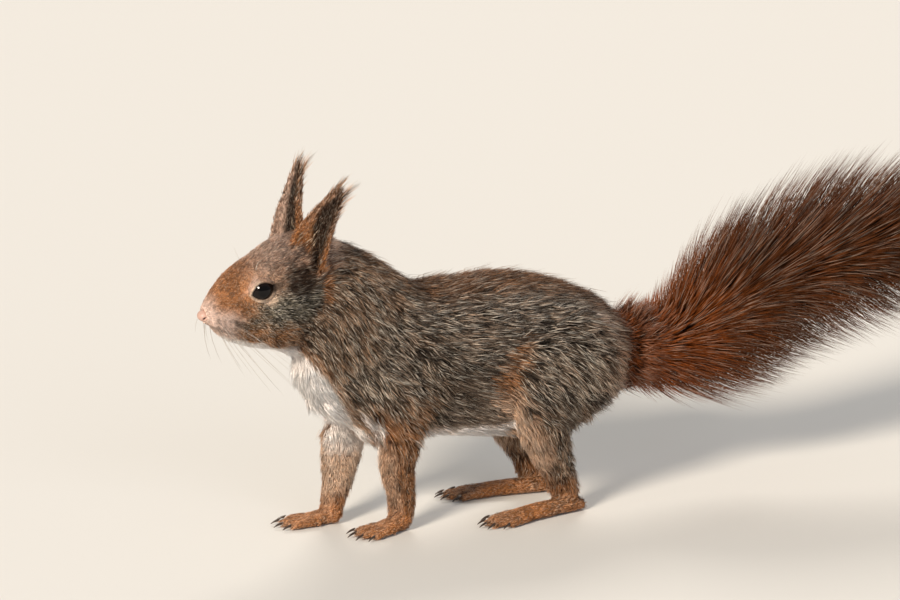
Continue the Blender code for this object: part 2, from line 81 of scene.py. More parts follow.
# How the coat lies on each part: depth of the coat, length of a tuft, its lift off the skin
# in degrees, half its width, and how closely tufts stand, against the other parts of a piece.
COAT = {
    "head": (1.3, 3.6, 20, 0.12, 1.0),
    "ear": (0.0, 2.8, 16, 0.11, 1.1),
    "neck": (3.2, 8.0, 28, 0.165, 1.0),
    "trunk": (4.0, 9.5, 28, 0.185, 1.0),
    "foreleg_upper": (3.0, 8.0, 26, 0.17, 1.0),
    "foreleg_forearm": (1.3, 4.4, 20, 0.13, 2.0),
    "forefoot": (0.45, 2.0, 13, 0.10, 3.0),
    "hindleg_thigh": (3.8, 9.0, 28, 0.18, 1.0),
    "hindleg_shank": (2.0, 6.0, 24, 0.15, 1.3),
    "hindfoot": (0.45, 2.2, 12, 0.10, 2.4),
    "tail": (0.0, 12.0, 30, 0.20, 1.0),
}
DEPTH = 0            # the first number of a row; the other four are its tufts' own
FORELEG = ("foreleg_upper", "foreleg_forearm", "forefoot")
HINDLEG = ("hindleg_thigh", "hindleg_shank", "hindfoot")
FEET = ("forefoot", "hindfoot")
BULK = ("trunk", "neck", "hindleg_thigh", "foreleg_upper")

SWELL = 0.6          # how far solids are swollen, so that the cuts between them close
FOOT_SWELL = 0.2     # less on the feet, so that the toes stay apart
VOXEL = 0.65         # fineness of the skin
SCATTER = 1.6        # spacing of the points that tell which solid the skin is nearest to

EYE_BALL = 5.4                               # radius
EYE_LOOK = np.array((-0.10, 0.985, 0.02))    # the way an eye faces; y is outward
EYE_TILT = math.radians(20)                  # the corners' line, rear corner up
EYE_BED = 0.6                                # flesh round the ball, beyond the lids
EYE_FINE = 8.6                               # how far round the eye's middle the skin is finer
CORNEA = 0.28                                # how far the clear front stands out from the ball
LID_OPEN = (5.2, 5.3, 3.55)    # along the ball: to the front corner, to the rear, to a lid
LID_THICK = 0.5

# Flesh behind the nose pad, and the pad: middle from the nose's, radii.
NOSE_FLESH = ((3.1, 0, 0), (4.0, 4.3, 4.1))
NOSE_PAD = ((1.1, 0, -0.2), (2.9, 3.0, 2.4))

EAR_ROOT = np.array((-61.0, 11.5, 114.5))
EAR_LENGTH = 34.0
EAR_THICK = 1.35
EAR_SLOPE = 0.75     # how much lower the outer side of the ear's root is
# Degrees: how far the ears lean out, lean back and curl back, and how far each cup faces out.
EAR_LEAN_OUT = 14.0
EAR_LEAN_BACK = {"left": 9.0, "right": 14.0}
EAR_CURL_BACK = {"left": 26.0, "right": 12.0}
EAR_FACING = {"left": 34.0, "right": -16.0}
# The ear's flesh: share of its length, half width, depth of the cup.
EAR_SHAPE = (
    (-0.20, 5.6, 4.6),
    (-0.06, 7.2, 5.6),
    (0.10, 8.2, 6.2),
    (0.28, 8.0, 5.6),
    (0.50, 6.6, 4.2),
    (0.72, 4.8, 2.8),
    (0.90, 2.6, 1.4),
    (1.00, 0.9, 0.4),
)
EAR_RINGS = 44       # rings along the ear
EAR_ARC = 23         # points of a ring over the ear's back from rim to rim, and as many in its cup
# How pale the outer side of the ear's cup is, from 0 to 1.
EAR_PALE = {"left": 0.0, "right": 0.85}
# The painted shade in the ear's cup, from its outer to its inner edge as -1 to 1: where it
# # starts, and where it ends at the ear's root and at its tip.
EAR_CUP_SHADE = {"left": (-0.95, 0.05, 0.62), "right": (-0.4, 0.7, 0.85)}

# The tail's hair, from its root to its tip: x, z, reach above, reach below, half width.
TAIL = (
    (70, 66, 14.5, 14.5, 16.5),
    (84, 61, 16, 16, 17.5),
    (96, 60, 18.5, 20, 18.5),
    (108, 63, 21.5, 28, 20.5),
    (120, 69, 25, 38, 22),
    (133, 76, 31.5, 41, 24),
    (150, 82.5, 36.5, 39.5, 24.5),
    (168, 87.5, 39.5, 38.5, 24.5),
    (186, 90.5, 40.5, 37.5, 24),
    (205, 92.5, 39, 35.5, 22.5),
    (225, 94.5, 35, 31, 20),
    (243, 96.5, 28, 26, 17),
    (258, 98.5, 17.5, 18, 12.5),
    (268, 100.2, 9.5, 10, 7),
    (274, 101.4, 3, 3, 2.5),
)
# Flesh between rump and tail, from front to back: middle, radii.
TAIL_ROOT = (
    ((62, 0, 64), (27, 24, 19)),
    ((79, 0, 62.5), (22, 15, 13.5)),
    ((96, 0, 60.5), (18, 9, 8.6)),
)
# The tail under its hair: share of the tail's length, radius.
TAIL_CORE = ((0.0, 9.0), (0.08, 7.5), (0.16, 5.6), (0.3, 4.6), (0.6, 3.4), (0.85, 2.0), (0.94, 1.0))

# The lower edge of the coloured coat seen from the side: x, z.  Below it the coat is white.
WHITE_EDGE = ((-104, 88.8), (-97, 87.0), (-88, 84.4), (-78, 82.0), (-68, 80.5), (-61, 78),
              (-53, 69), (-45, 56), (-38, 46), (-30, 40.5), (-10, 40), (20, 40), (45, 42),
              (62, 46), (80, 48))
# The middle of the warm stripe down the hind leg seen from the side: z, x.
LEG_STRIPE = ((24, 35), (50, 21), (56, 20), (66, 21), (80, 27), (86, 34))

# Each tone of the coat: colour at the root, colour at the tip, and how strongly single hairs
# are ticked with dark and pale.
TONES = {
    "grizzle": ("#17110c", "#d2bca6", 1.0),
    "ash": ("#1f1b15", "#8c8572", 0.8),
    "russet": ("#2f1b0f", "#bd8a60", 0.7),
    "sandy": ("#6b4831", "#e2b799", 0.45),
    "rufous": ("#663b1f", "#d9935a", 0.3),
    "buff": ("#826548", "#f2d6b8", 0.3),
    "white": ("#f2e8e2", "#fffdfa", 0.0),
    "blush": ("#c7a491", "#fae3d7", 0.05),
    "cream": ("#c9a283", "#fce6d0", 0.1),
    "chestnut": ("#130904", "#5d310f", 0.17),
    "copper": ("#2e1405", "#974c1a", 0.17),
    "umber": ("#0d0806", "#3a2619", 0.25),
    "bare": ("#0c0706", "#17100d", 0.0),
}
PURE = dict(zip(TONES, np.eye(len(TONES))))    # the weights of a coat all in one tone

# Tufts of hair.  A lock is a number of tufts whose tips are drawn together by a share.
THICKNESS = 0.55     # of a tuft, against half its width
TAPER = (0.85, 1.0, 0.8, 0.6)    # of the rings along a long tuft or whisker
GUARD_SHARE = 0.07   # of the body's tufts are guard hairs
GUARD_LENGTH, GUARD_LIFT, GUARD_WIDTH = 1.3, 1.25, 0.8    # of a guard hair, against the rest
STRAY = 12           # degrees, how far tufts stray from the lie of the coat
BODY_LOCKS = ((9, 0.6), (60, 0.35))
TAIL_LOCKS = ((8, 0.35), (80, 0.2))
BODY_HEIGHT = 0.25   # above the floor, the least for the tufts of the body
TAIL_HEIGHT = 0.5    # and for those of the tail
PATCH = 0.003        # size of a tuft's place on the map of its piece

# Stretches of coat: the kinds of part under each, its side or both, and its count of tufts.
STRETCHES = {
    "coat_head_left": (("head", "ear"), -1, 30400),
    "coat_head_right": (("head", "ear"), 1, 30400),
    "coat_neck": (("neck",), 0, 23500),
    "coat_flank_left": (("trunk", "tail"), -1, 28000),
    "coat_flank_right": (("trunk", "tail"), 1, 28000),
    "coat_forelegs": (FORELEG, 0, 24500),
    "coat_hindlegs": (HINDLEG, 0, 28500),
}
COAT_FADE = (96, 84)    # x along the tail where the body's tufts are gone, and start to thin
COAT_END = 97           # x beyond which no stretch of them goes
# Stretches of the tail's hair: from and to, as shares of its length, and the count of tufts.
TAIL_STRETCHES = {
    "coat_tail_root": ((0.02, 0.42), 14000),
    "coat_tail_end": ((0.40, 1.0), 14000),
}
EAR_TUFTS = 260         # on each ear
EAR_TUFT_WIDTH = 0.12   # half of it

WHISKER_ROWS = 3        # on each side of the muzzle
WHISKERS = 4            # in each row
WHISKER_LENGTH = (17, 31)
WHISKER_WIDTH = 0.11    # half of it
BROW_WHISKER = (-81, 9, 116)    # where the one over each eye grows, y outward
BROW_LENGTH = 9


# ---------------------------------------------------------------- numbers and meshes

def rise(low, high, value):
    """0 at low, 1 at high and smooth between; low may be the larger of the two."""
    t = np.clip((value - low) / (high - low), 0, 1)
    return t * t * (3 - 2 * t)


def lengths_of(vectors):
    """The length of each vector."""
    return np.linalg.norm(vectors, axis=-1)


def unit(vectors):
    """The vectors at a length of one."""
    return vectors / np.maximum(lengths_of(vectors)[..., None], 1e-9)


def dot(a, b):
    """Each row's product with its fellow, as a column."""
    return np.sum(a * b, axis=1, keepdims=True)


def flattened(vectors, normals):
    """Each vector laid square to its normal, at a length of one."""
    return unit(vectors - normals * dot(vectors, normals))


def ripple(points, size, turn=0.0):
    """A soft uneven wave over space, from -1 to 1, whose swells are about this many mm."""
    x, y, z = (points * (2 * math.pi / size)).T
    wave = np.sin(x + 1.7 * np.sin(0.7 * z + turn)) + np.sin(1.3 * z + 1.1 * np.sin(0.9 * y - turn))
    return (wave + np.sin(1.1 * y + 1.4 * np.sin(0.8 * x + 2 * turn))) / 3


def spline(rows, count):
    """This many points along a smooth curve through the rows, evenly spaced between rows."""
    rows = np.array(rows, float)
    padded = np.vstack([2 * rows[0] - rows[1], rows, 2 * rows[-1] - rows[-2]])
    place = np.linspace(0, len(rows) - 1, count)
    start = np.minimum(place.astype(int), len(rows) - 2)
    t = (place - start)[:, None]
    a, b, c, d = (padded[start + k] for k in range(4))
    return 0.5 * (2 * b + (c - a) * t + (2 * a - 5 * b + 4 * c - d) * t ** 2
                  + (3 * b - a - 3 * c + d) * t ** 3)


def nearest(points, spots):
    """For each spot, the number of the point nearest to it."""
    tree = KDTree(len(points))
    for k, point in enumerate(points):
        tree.insert(point, k)
    tree.balance()
    return np.array([tree.find(spot)[1] for spot in spots])


def mesh_arrays(mesh):
    """A mesh's points, in mm from the squirrel's zero, and its triangles."""
    mesh.calc_loop_triangles()
    points = np.empty(len(mesh.vertices) * 3)
    mesh.vertices.foreach_get("co", points)
    tris = np.empty(len(mesh.loop_triangles) * 3, np.int32)
    mesh.loop_triangles.foreach_get("vertices", tris)
    return points.reshape(-1, 3) / MM - ZERO, tris.reshape(-1, 3)


def solid(name):
    """A node's own solid, with the points that its triangles share made one."""
    points, tris = mesh_arrays(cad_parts[name].data)
    _, first, index = np.unique(np.round(points, 4), axis=0, return_index=True,
                                return_inverse=True)
    tris = index.ravel()[tris]
    real = (tris[:, 0] != tris[:, 1]) & (tris[:, 1] != tris[:, 2]) & (tris[:, 2] != tris[:, 0])
    return points[first], tris[real]


def new_mesh(name, points, tris):
    """A smooth mesh of triangles from points in mm."""
    mesh = bpy.data.meshes.new(name)
    mesh.vertices.add(len(points))
    mesh.vertices.foreach_set("co", ((points + ZERO) * MM).astype(np.float32).ravel())
    mesh.loops.add(tris.size)
    mesh.loops.foreach_set("vertex_index", tris.astype(np.int32).ravel())
    mesh.polygons.add(len(tris))
    mesh.polygons.foreach_set("loop_start", np.arange(0, tris.size, 3, dtype=np.int32))
    mesh.update(calc_edges=True)
    mesh.shade_smooth()
    return mesh


def new_object(name, data):
    """An object of the scene from a mesh, a lamp or a camera."""
    obj = bpy.data.objects.new(name, data)
    bpy.context.scene.collection.objects.link(obj)
    return obj


def tint(mesh, name, values):
    """Store up to four numbers for each point of a mesh."""
    padded = np.ones((len(values), 4), np.float32)
    padded[:, :values.shape[1]] = values
    mesh.attributes.new(name, "FLOAT_COLOR", "POINT").data.foreach_set("color", padded.ravel())


def corner_normals(points, tris):
    """Each triangle's normal, as long as twice its area."""
    a, b, c = (points[tris[:, k]] for k in range(3))
    return np.cross(b - a, c - a)


def normals_of(points, tris):
    """The normal of the surface at each point."""
    faces = corner_normals(points, tris)
    total = np.zeros_like(points)
    for axis in range(3):
        for corner in range(3):
            total[:, axis] += np.bincount(tris[:, corner], faces[:, axis], len(points))
    return unit(total)


def edges_of(tris):
    """Each edge once, as its two points."""
    pairs = np.sort(np.vstack([tris[:, (0, 1)], tris[:, (1, 2)], tris[:, (2, 0)]]), axis=1)
    return np.unique(pairs, axis=0)


def smoothed(values, edges, rounds, share=0.5, where=1.0):
    """Each point's numbers drawn towards its neighbours', this many times."""
    a, b = edges.T
    count = len(values)
    degree = np.maximum(np.bincount(a, minlength=count) + np.bincount(b, minlength=count), 1)
    values = np.array(values, float)
    columns = values.reshape(count, -1)
    for _ in range(rounds):
        for k in range(columns.shape[1]):
            column = columns[:, k]
            total = np.bincount(a, column[b], count) + np.bincount(b, column[a], count)
            columns[:, k] += share * where * (total / degree - column)
    return values


def softened(points, edges, rounds, where=1.0):
    """Smooth a form without shrinking it: each step in is followed by a step out."""
    for _ in range(rounds):
        points = smoothed(points, edges, 1, 0.6, where)
        points = smoothed(points, edges, 1, -0.62, where)
    return points


def spread(points, values, reach, counted):
    """Each point's numbers averaged over the space within about this many mm of it, from the
    points that are counted."""
    cell = reach / 2.5
    place = (points - points.min(0)) / cell + 3
    base = place.astype(int)
    part = place - base
    shape = base.max(0) + 5
    corners = []
    for corner in itertools.product((0, 1), repeat=3):
        weight = np.prod(np.where(corner, part, 1 - part), axis=1)
        corners.append((np.ravel_multi_index((base + corner).T, shape), weight))
    columns = np.column_stack([counted, values.reshape(len(points), -1) * counted[:, None]])
    means = []
    for column in columns.T:
        grid = np.zeros(int(np.prod(shape)))
        for index, weight in corners:
            grid += np.bincount(index, column * weight, len(grid))
        grid = grid.reshape(shape)
        for axis in (0, 1, 2, 0, 1, 2):
            grid = grid + np.roll(grid, 1, axis) + np.roll(grid, -1, axis)
        grid = grid.ravel()
        means.append(sum(grid[index] * weight for index, weight in corners))
    means = np.array(means)
    return (means[1:] / np.maximum(means[0], 1e-9)).T.reshape(values.shape)


def tube(rings):
    """A closed tube through rings of points: its points and its triangles, faced outward."""
    rings = np.asarray(rings, float)
    count, sides, _ = rings.shape
    corner = np.arange(sides)
    following = (corner + 1) % sides
    tris = []
    for near in range(0, (count - 1) * sides, sides):
        far = near + sides
        tris.append(np.stack([near + corner, far + corner, near + following], 1))
        tris.append(np.stack([near + following, far + corner, far + following], 1))
    far = (count - 1) * sides
    root, tip = count * sides, count * sides + 1
    tris.append(np.stack([np.full(sides, root), corner, following], 1))
    tris.append(np.stack([np.full(sides, tip), far + following, far + corner], 1))
    points = np.vstack([rings.reshape(-1, 3), rings[0].mean(0), rings[-1].mean(0)])
    tris = np.vstack(tris)
    a, b, c = (points[tris[:, k]] for k in range(3))
    volume = np.sum(a * np.cross(b, c))
    return points, tris if volume > 0 else tris[:, ::-1]


def ball(centre, radii, sides=32):
    """A closed ball or egg as points and triangles."""
    turns = 2 * math.pi * np.arange(sides) / sides
    rings = []
    for k in range(1, sides // 2):
        a = math.pi * k / (sides // 2)
        rings.append(np.stack([np.cos(turns) * math.sin(a), np.sin(turns) * math.sin(a),
                               np.full(sides, math.cos(a))], 1))
    points, tris = tube(rings)
    points[-2:] = ((0, 0, 1), (0, 0, -1))
    return points * radii + centre, tris


def joined(pieces):
    """Several forms as one list of points and one of triangles."""
    points, tris, offset = [], [], 0
    for some_points, some_tris in pieces:
        points.append(some_points)
        tris.append(some_tris + offset)
        offset += len(some_points)
    return np.vstack(points), np.vstack(tris)


def worked(points, tris, modifier, **settings):
    """The same form after a modifier of this kind with these settings."""
    obj = new_object("scratch", new_mesh("scratch", points, tris))
    change = obj.modifiers.new("change", modifier)
    for name, value in settings.items():
        setattr(change, name, value)
    bpy.context.view_layer.update()
    graph = bpy.context.evaluated_depsgraph_get()
    mesh = bpy.data.meshes.new_from_object(obj.evaluated_get(graph))
    result = mesh_arrays(mesh)
    bpy.data.objects.remove(obj)
    bpy.data.meshes.remove(mesh)
    return result


def refined(points, tris, chosen):
    """Every edge with both ends chosen is halved."""
    mesh = new_mesh("scratch", points, tris)
    bm = bmesh.new()
    bm.from_mesh(mesh)
    edges = [e for e in bm.edges if chosen[e.verts[0].index] and chosen[e.verts[1].index]]
    bmesh.ops.subdivide_edges(bm, edges=edges, cuts=1, use_grid_fill=True)
    bmesh.ops.triangulate(bm, faces=bm.faces)
    bm.to_mesh(mesh)
    bm.free()
    return mesh_arrays(mesh)


# ---------------------------------------------------------------- which part a point is on

def kind_of(node):
    """The kind of part a node is: its name without side or number."""
    for kind in COAT:
        if node.startswith(kind):
            return kind
    return "trunk"


def sample_surface(points, tris, spacing, rng):
    """Points scattered over a surface, about this far apart."""
    area = lengths_of(corner_normals(points, tris)) / 2
    count = int(area.sum() / spacing ** 2)
    chosen = np.searchsorted(np.cumsum(area) / area.sum(), rng.random(count))
    u, v = rng.random((2, count, 1))
    flip = u + v > 1
    u, v = np.where(flip, 1 - u, u), np.where(flip, 1 - v, v)
    a, b, c = (points[tris[chosen, k]] for k in range(3))
    return a + (b - a) * u + (c - a) * v


def kinds_at(points, solids, rng):
    """The kind of part that the solid nearest to each point is."""
    kinds, spots = [], []
    for name in FLESH:
        some = np.vstack([solids[name][0], sample_surface(*solids[name], SCATTER, rng)])
        spots.append(some)
        kinds += [kind_of(name)] * len(some)
    return np.array(kinds)[nearest(np.vstack(spots), points)]


# ---------------------------------------------------------------- eyes, ears and tail

def eye_frame(side):
    """An eye's middle, the way it faces, and the directions of its front corner and its top."""
    sign = SIDES[side]
    middle = np.array(sum(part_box(f"eye_{side}"), Vector())) / 2 / MM - ZERO
    look = unit(EYE_LOOK * (1, sign, 1))
    ahead = np.array((-math.cos(EYE_TILT), 0, -math.sin(EYE_TILT)))
    ahead = unit(ahead - look * (ahead @ look))
    top = np.cross(ahead, look) * sign
    return middle, look, ahead, top


def lid_place(points, side):
    """Each point's distance from the eye's middle, and how far out of the opening it lies:
    below 1 is in the opening, 1 is its edge.  The opening is an oval with pointed corners."""
    middle, look, ahead, top = eye_frame(side)
    away = points - middle
    forward = np.maximum(away @ look, 0.01)
    long_way = np.arctan2(away @ ahead, forward) * EYE_BALL
    long_way = np.abs(long_way) / np.where(long_way > 0, LID_OPEN[0], LID_OPEN[1])
    high_way = np.abs(np.arctan2(away @ top, forward)) * EYE_BALL / LID_OPEN[2]
    out = np.minimum(np.hypot(long_way, high_way), 0.87 * long_way + 1.5 * high_way)
    return lengths_of(away), np.where(away @ look > 0, out, 9.0)


def ear_way(side, share):
    """The direction in which the ear's middle line runs at this share of its length."""
    back = math.radians(EAR_LEAN_BACK[side] + EAR_CURL_BACK[side] * max(share, 0))
    out = math.radians(EAR_LEAN_OUT)
    return unit(np.array((math.sin(back), SIDES[side] * math.sin(out), math.cos(back))))


def ear_rings(side):
    """Rings of points round the ear from its root up: its back from rim to rim, then its cup,
    with a rolled rim between them and the root sunk in the head."""
    facing = math.radians(EAR_FACING[side])
    ahead = np.array((-math.cos(facing), SIDES[side] * math.sin(facing), 0))
    arc = np.radians(np.linspace(-82, 82, EAR_ARC))[:, None]
    rim = rise(60, 80, np.degrees(np.abs(arc)))
    rings = []
    centre, last = EAR_ROOT * (1, SIDES[side], 1), 0.0
    for share, half, cup in spline(EAR_SHAPE, EAR_RINGS):
        up = ear_way(side, share)
        centre = centre + up * (share * EAR_LENGTH - last)
        last = share * EAR_LENGTH
        front = unit(ahead - up * (ahead @ up))
        across = np.cross(up, front)
        across = across + up * SIDES[side] * EAR_SLOPE * rise(0.65, 0.0, share)
        thick = EAR_THICK * (0.75 + 0.35 * rim) * (1 - 0.35 * rise(0.6, 1.0, share))
        outer = centre + across * half * np.sin(arc) - front * cup * np.cos(arc)
        inner = (centre + across * (half - thick * 0.55) * np.sin(arc)
                 + front * (thick - cup * np.cos(arc)))
        rings.append(np.vstack([outer, inner[::-1]]))
    return np.array(rings)


def ear_share(high):
    """The share of the ear's length at this share of its rings."""
    shares = np.array(EAR_SHAPE)[:, 0]
    return np.interp(high, np.linspace(0, 1, len(shares)), shares)


def ear_places(points, side):
    """For points of an ear: how high up it they are and how far towards its inner edge, from -1
    to 1, and whether they are in its cup."""
    ring, column = np.divmod(nearest(ear_rings(side).reshape(-1, 3), points), 2 * EAR_ARC)
    cup = column >= EAR_ARC
    arc = np.where(cup, 2 * EAR_ARC - 1 - column, column) / (EAR_ARC - 1) * 2 - 1
    return ear_share(ring / (EAR_RINGS - 1)), arc * SIDES[side], cup


class TailLine:
    """The tail's centre line, with its upward direction and the reach of its hair."""

    def __init__(self):
        rows = spline(TAIL, 240)
        self.centre = np.stack([rows[:, 0], np.zeros(len(rows)), rows[:, 1]], 1)
        self.along = unit(np.gradient(self.centre, axis=0))
        self.up = np.cross(self.along, SIDEWAYS)
        self.up *= np.sign(self.up[:, 2:3])
        self.reach = rows[:, 2:]
        self.way = np.concatenate([[0], np.cumsum(lengths_of(np.diff(self.centre, axis=0)))])
        self.length = self.way[-1]

    def at(self, distance, table):
        """The numbers of one of the line's tables at this distance from the tail's root."""
        return np.stack([np.interp(distance, self.way, column) for column in table.T], -1)

    def outward(self, distance, angle):
        """The way out from the line, the angle turning from the side to the top."""
        across, high = np.cos(angle)[:, None], np.sin(angle)[:, None]
        return across * SIDEWAYS + high * self.at(distance, self.up)

    def spot(self, distance, angle, share):
        """The point out that way at this share of the hair's reach."""
        above, below, half = self.at(distance, self.reach).T
        high = np.where(np.sin(angle) > 0, above, below)
        return (self.at(distance, self.centre)
                + (share * half * np.cos(angle))[:, None] * SIDEWAYS
                + (share * high * np.sin(angle))[:, None] * self.at(distance, self.up))

    def core(self, distance):
        """The radius of the tail under its hair."""
        return np.interp(distance / self.length, *np.array(TAIL_CORE).T)


def tail_form(line):
    """The tail's own flesh, from a little inside the rump to near the end of its hair."""
    turns = 2 * math.pi * np.arange(20) / 20
    rings = []
    for distance in np.linspace(-0.04, 0.95, 60) * line.length:
        on_line = max(distance, 0)
        centre = line.at(on_line, line.centre) + min(distance, 0) * line.along[0]
        rings.append(centre + line.core(on_line) * line.outward(on_line, turns))
    return tube(rings)


# ---------------------------------------------------------------- the skin's form

def swollen_solid(name, points, tris):
    """A solid grown outward a little."""
    swell = FOOT_SWELL if kind_of(name) in FEET else SWELL
    return points + normals_of(points, tris) * swell, tris


def skin_form(solids, line):
    """One closed body of flesh: points, triangles, the kind of part at each point and edges."""
    rng = np.random.default_rng(SEED)
    eyes = [eye_frame(side)[0] for side in SIDES]
    pieces = [swollen_solid(name, *solids[name]) for name in BODY]
    pieces += [tube(ear_rings(side)) for side in SIDES]
    pieces.append(tail_form(line))
    pieces += [ball(middle, radii) for middle, radii in TAIL_ROOT]
    pieces += [ball(eye, EYE_BALL + LID_THICK + EYE_BED) for eye in eyes]
    pieces.append(ball(NOSE + NOSE_FLESH[0], NOSE_FLESH[1]))
    points, tris = worked(*joined(pieces), "REMESH", mode="VOXEL", voxel_size=VOXEL * MM)
    near_eye = np.min([lengths_of(points - eye) for eye in eyes], axis=0) < EYE_FINE
    points, tris = refined(points, tris, near_eye)
    kinds = kinds_at(points, solids, rng)
    edges = edges_of(tris)
    bulk = np.isin(kinds, BULK + ("hindleg_shank",))
    soften = smoothed(np.where(bulk, 1.0, np.where(kinds == "head", 0.55, 0.12)), edges, 8)
    points = softened(points, edges, 45, soften)
    normals = unit(smoothed(normals_of(points, tris), edges, 6))
    points = points - normals * coat_depth(points, kinds, edges)[:, None]
    points = smoothed(points, edges, 3, 0.5, soften)
    return points, tris, kinds, edges


def coat_depth(points, kinds, edges):
    """How far the skin lies inside the swollen solids.  Ears and tail are at their own size;
    on the head the coat thins towards the nose."""
    x, _, z = points.T
    own = np.isin(kinds, ("ear", "tail"))
    swell = np.where(np.isin(kinds, FEET), FOOT_SWELL, SWELL)
    depth = np.array([COAT[kind][DEPTH] for kind in kinds]) + swell
    muzzle = rise(-78, -99, x)
    head = depth * (1 - 0.55 * muzzle) + 0.25 * muzzle
    full_jaw = 0.7 * rise(92, 84, z) * rise(-86, -78, x) * rise(-55, -62, x)
    behind_pad = 1.3 * rise(-97.2, -99.6, x)
    depth = np.where(kinds == "head", head - full_jaw + behind_pad, depth)
    tail_root = (kinds == "tail") * 3.0 * rise(88, 70, x)
    depth = np.where(own, tail_root, spread(points, depth, 8.0, ~own))
    return smoothed(depth, edges, 10)


def open_lids(points):
    """Raise lids over each eye, with a rounded edge and a crease round them, and sink the skin
    in the opening behind the eyeball."""
    sunk = EYE_BALL - 0.9
    for side in SIDES:
        distance, out = lid_place(points, side)
        way = unit(points - eye_frame(side)[0])
        lid = EYE_BALL + LID_THICK * (1 - 0.35 * rise(1.3, 2.0, out))
        near = rise(9.5, 6.8, distance)
        raised = np.where(out < 2.2, lid, lid - 1.3 * (out - 2.2))
        shaped = np.maximum(distance, raised)
        fold = 0.35 * np.exp(-((out - 1.75) / 0.16) ** 2)
        shaped = np.where(out < 1.5, lid, shaped) - fold * near
        shaped = sunk + (shaped - sunk) * rise(0.93, 1.07, out)
        blend = near * (out < 6)
        points = points + way * ((shaped - distance) * blend)[:, None]
    return points


def press_mouth(points, kinds):
    """The line of the mouth under the muzzle, and the groove under the nose; and how deep in
    either each point lies."""
    x, y, z = points.T
    head = kinds == "head"
    run = rise(-100, -86, x)
    line_height = 91.8 - 4.6 * run + 0.05 * np.abs(y) ** 1.4
    close = np.exp(-((z - line_height) / 0.8) ** 2) * rise(-85.5, -89, x)
    groove = np.exp(-(y / 0.45) ** 2) * rise(96, 94.5, z) * rise(90.5, 92.2, z) * rise(-93, -97, x)
    inward = unit(np.stack([np.full(len(x), 0.25), -np.sign(y) * np.abs(y) / 5, 0 * z], 1))
    amount = head * (0.75 * close + 0.5 * groove)
    return points + inward * amount[:, None], head * np.maximum(close, groove)


# ---------------------------------------------------------------- markings and painted shade

def painter(count):
    """A coat all in grizzle, and the brush that lays another tone over part of it."""
    weights = np.tile(PURE["grizzle"], (count, 1))

    def paint(tone, where, amount):
        amount = np.clip(where * amount, 0, 1)
        weights[:] = weights * (1 - amount)[:, None] + np.outer(amount, PURE[tone])
    return weights, paint


def markings_and_painted_shade(points, normals, kinds, seam):
    """How much of each tone the coat has at each point: its markings, and painted shade in the
    flank's hollow, below each ear and in each ear's cup.  Numbers set against x, y or z are mm
    along the squirrel, and those set against a normal are shares of it."""
    x, y, z = points.T
    wobble = ripple(points, 9.0) * 2.2 + ripple(points, 3.4, 1.0) * 0.9
    height = z + wobble
    out = normals[:, 1] * np.sign(y)
    weights, paint = painter(len(points))
    body = np.isin(kinds, BULK)
    head, neck, upper_arm = (kinds == kind for kind in ("head", "neck", "foreleg_upper"))

    spine = rise(17, 5, np.abs(y) + wobble) * rise(0.3, 0.8, normals[:, 2])
    paint("russet", body, 0.22 + 0.16 * ripple(points, 24.0, 2.0))
    paint("russet", body, 0.8 * spine)
    paint("umber", body, 0.35 * spine)
    paint("rufous", body, 0.4 * spine * rise(-18, 12, x) * rise(66, 48, x))
    # Painted shade: umber in the flank's hollow between shoulder and thigh, where shade falls.
    painted_hollow_shade = rise(-16, -2, x) * rise(34, 18, x) * rise(84, 66, height)
    paint("umber", kinds == "trunk", 0.45 * painted_hollow_shade)
    paint("russet", neck, 0.4)

    arm = np.isin(kinds, FORELEG)
    front = rise(0.1, -0.6, normals[:, 0])
    paint("russet", arm, 0.85 * rise(66, 40, height))
    paint("rufous", arm, rise(62, 38, height) * (0.5 + 0.4 * front))
    paint("cream", arm, 0.5 * front * rise(44, 30, height))
    paint("cream", arm, 0.8 * rise(0.15, -0.3, out) * rise(9, 18, z))
    paint("rufous", arm, 0.6 * rise(15, 7, z + 0.5 * wobble))

    leg = np.isin(kinds, HINDLEG)
    behind = x - np.interp(z, *np.array(LEG_STRIPE, float).T)
    stripe = rise(12.5, 3, np.abs(behind) + 1.4 * wobble) * rise(90, 72, z)
    shin = rise(12, 3, behind + 0.8 * wobble) * rise(60, 48, z)
    paint("russet", leg, 0.5 * rise(52, 36, height))
    paint("russet", leg, 0.8 * stripe)
    paint("rufous", leg, (0.6 + 0.2 * rise(60, 45, z)) * stripe)
    paint("cream", leg, 0.75 * shin * rise(14, 22, z))
    paint("umber", leg, 0.5 * rise(12, 20, behind + wobble) * rise(56, 44, z))
    paint("rufous", leg, 0.7 * rise(20, 11, z + 0.6 * wobble))

    above = above_white(points, 0.6 * wobble)
    open_side = 1 - rise(-38, -28, x) * (1 - rise(-0.1, -0.5, normals[:, 2]))
    edged = np.isin(kinds, ("trunk", "neck", "head"))
    paint("rufous", edged | upper_arm, 0.5 * rise(11, 4, above) * rise(-20, -34, x))
    paint("cream", edged, 0.7 * rise(5.5, 2.5, above) * open_side)
    paint("white", edged, rise(3.6, 1.2, above) * open_side)
    chest_leg = rise(0.75, 0.35, out) * rise(0.3, -0.2, normals[:, 0]) * rise(26, 37, height)
    paint("white", upper_arm, chest_leg)
    paint("white", body, 0.9 * rise(0.0, -0.3, out) * rise(30, 34, z))
    paint("white", arm, 0.85 * rise(0.1, -0.3, out) * rise(24, 36, height))

    paint_head(points, normals, head, wobble, seam, paint)
    paint_ears(points, kinds, paint)
    rump = np.isin(kinds, ("tail", "trunk", "hindleg_thigh"))
    paint("copper", rump, 0.9 * rise(54, 91, x + 1.5 * wobble))
    return weights


def above_white(points, wobble):
    """How far each point is above the edge of the white coat."""
    return points[:, 2] - np.interp(points[:, 0], *np.array(WHITE_EDGE, float).T) - wobble


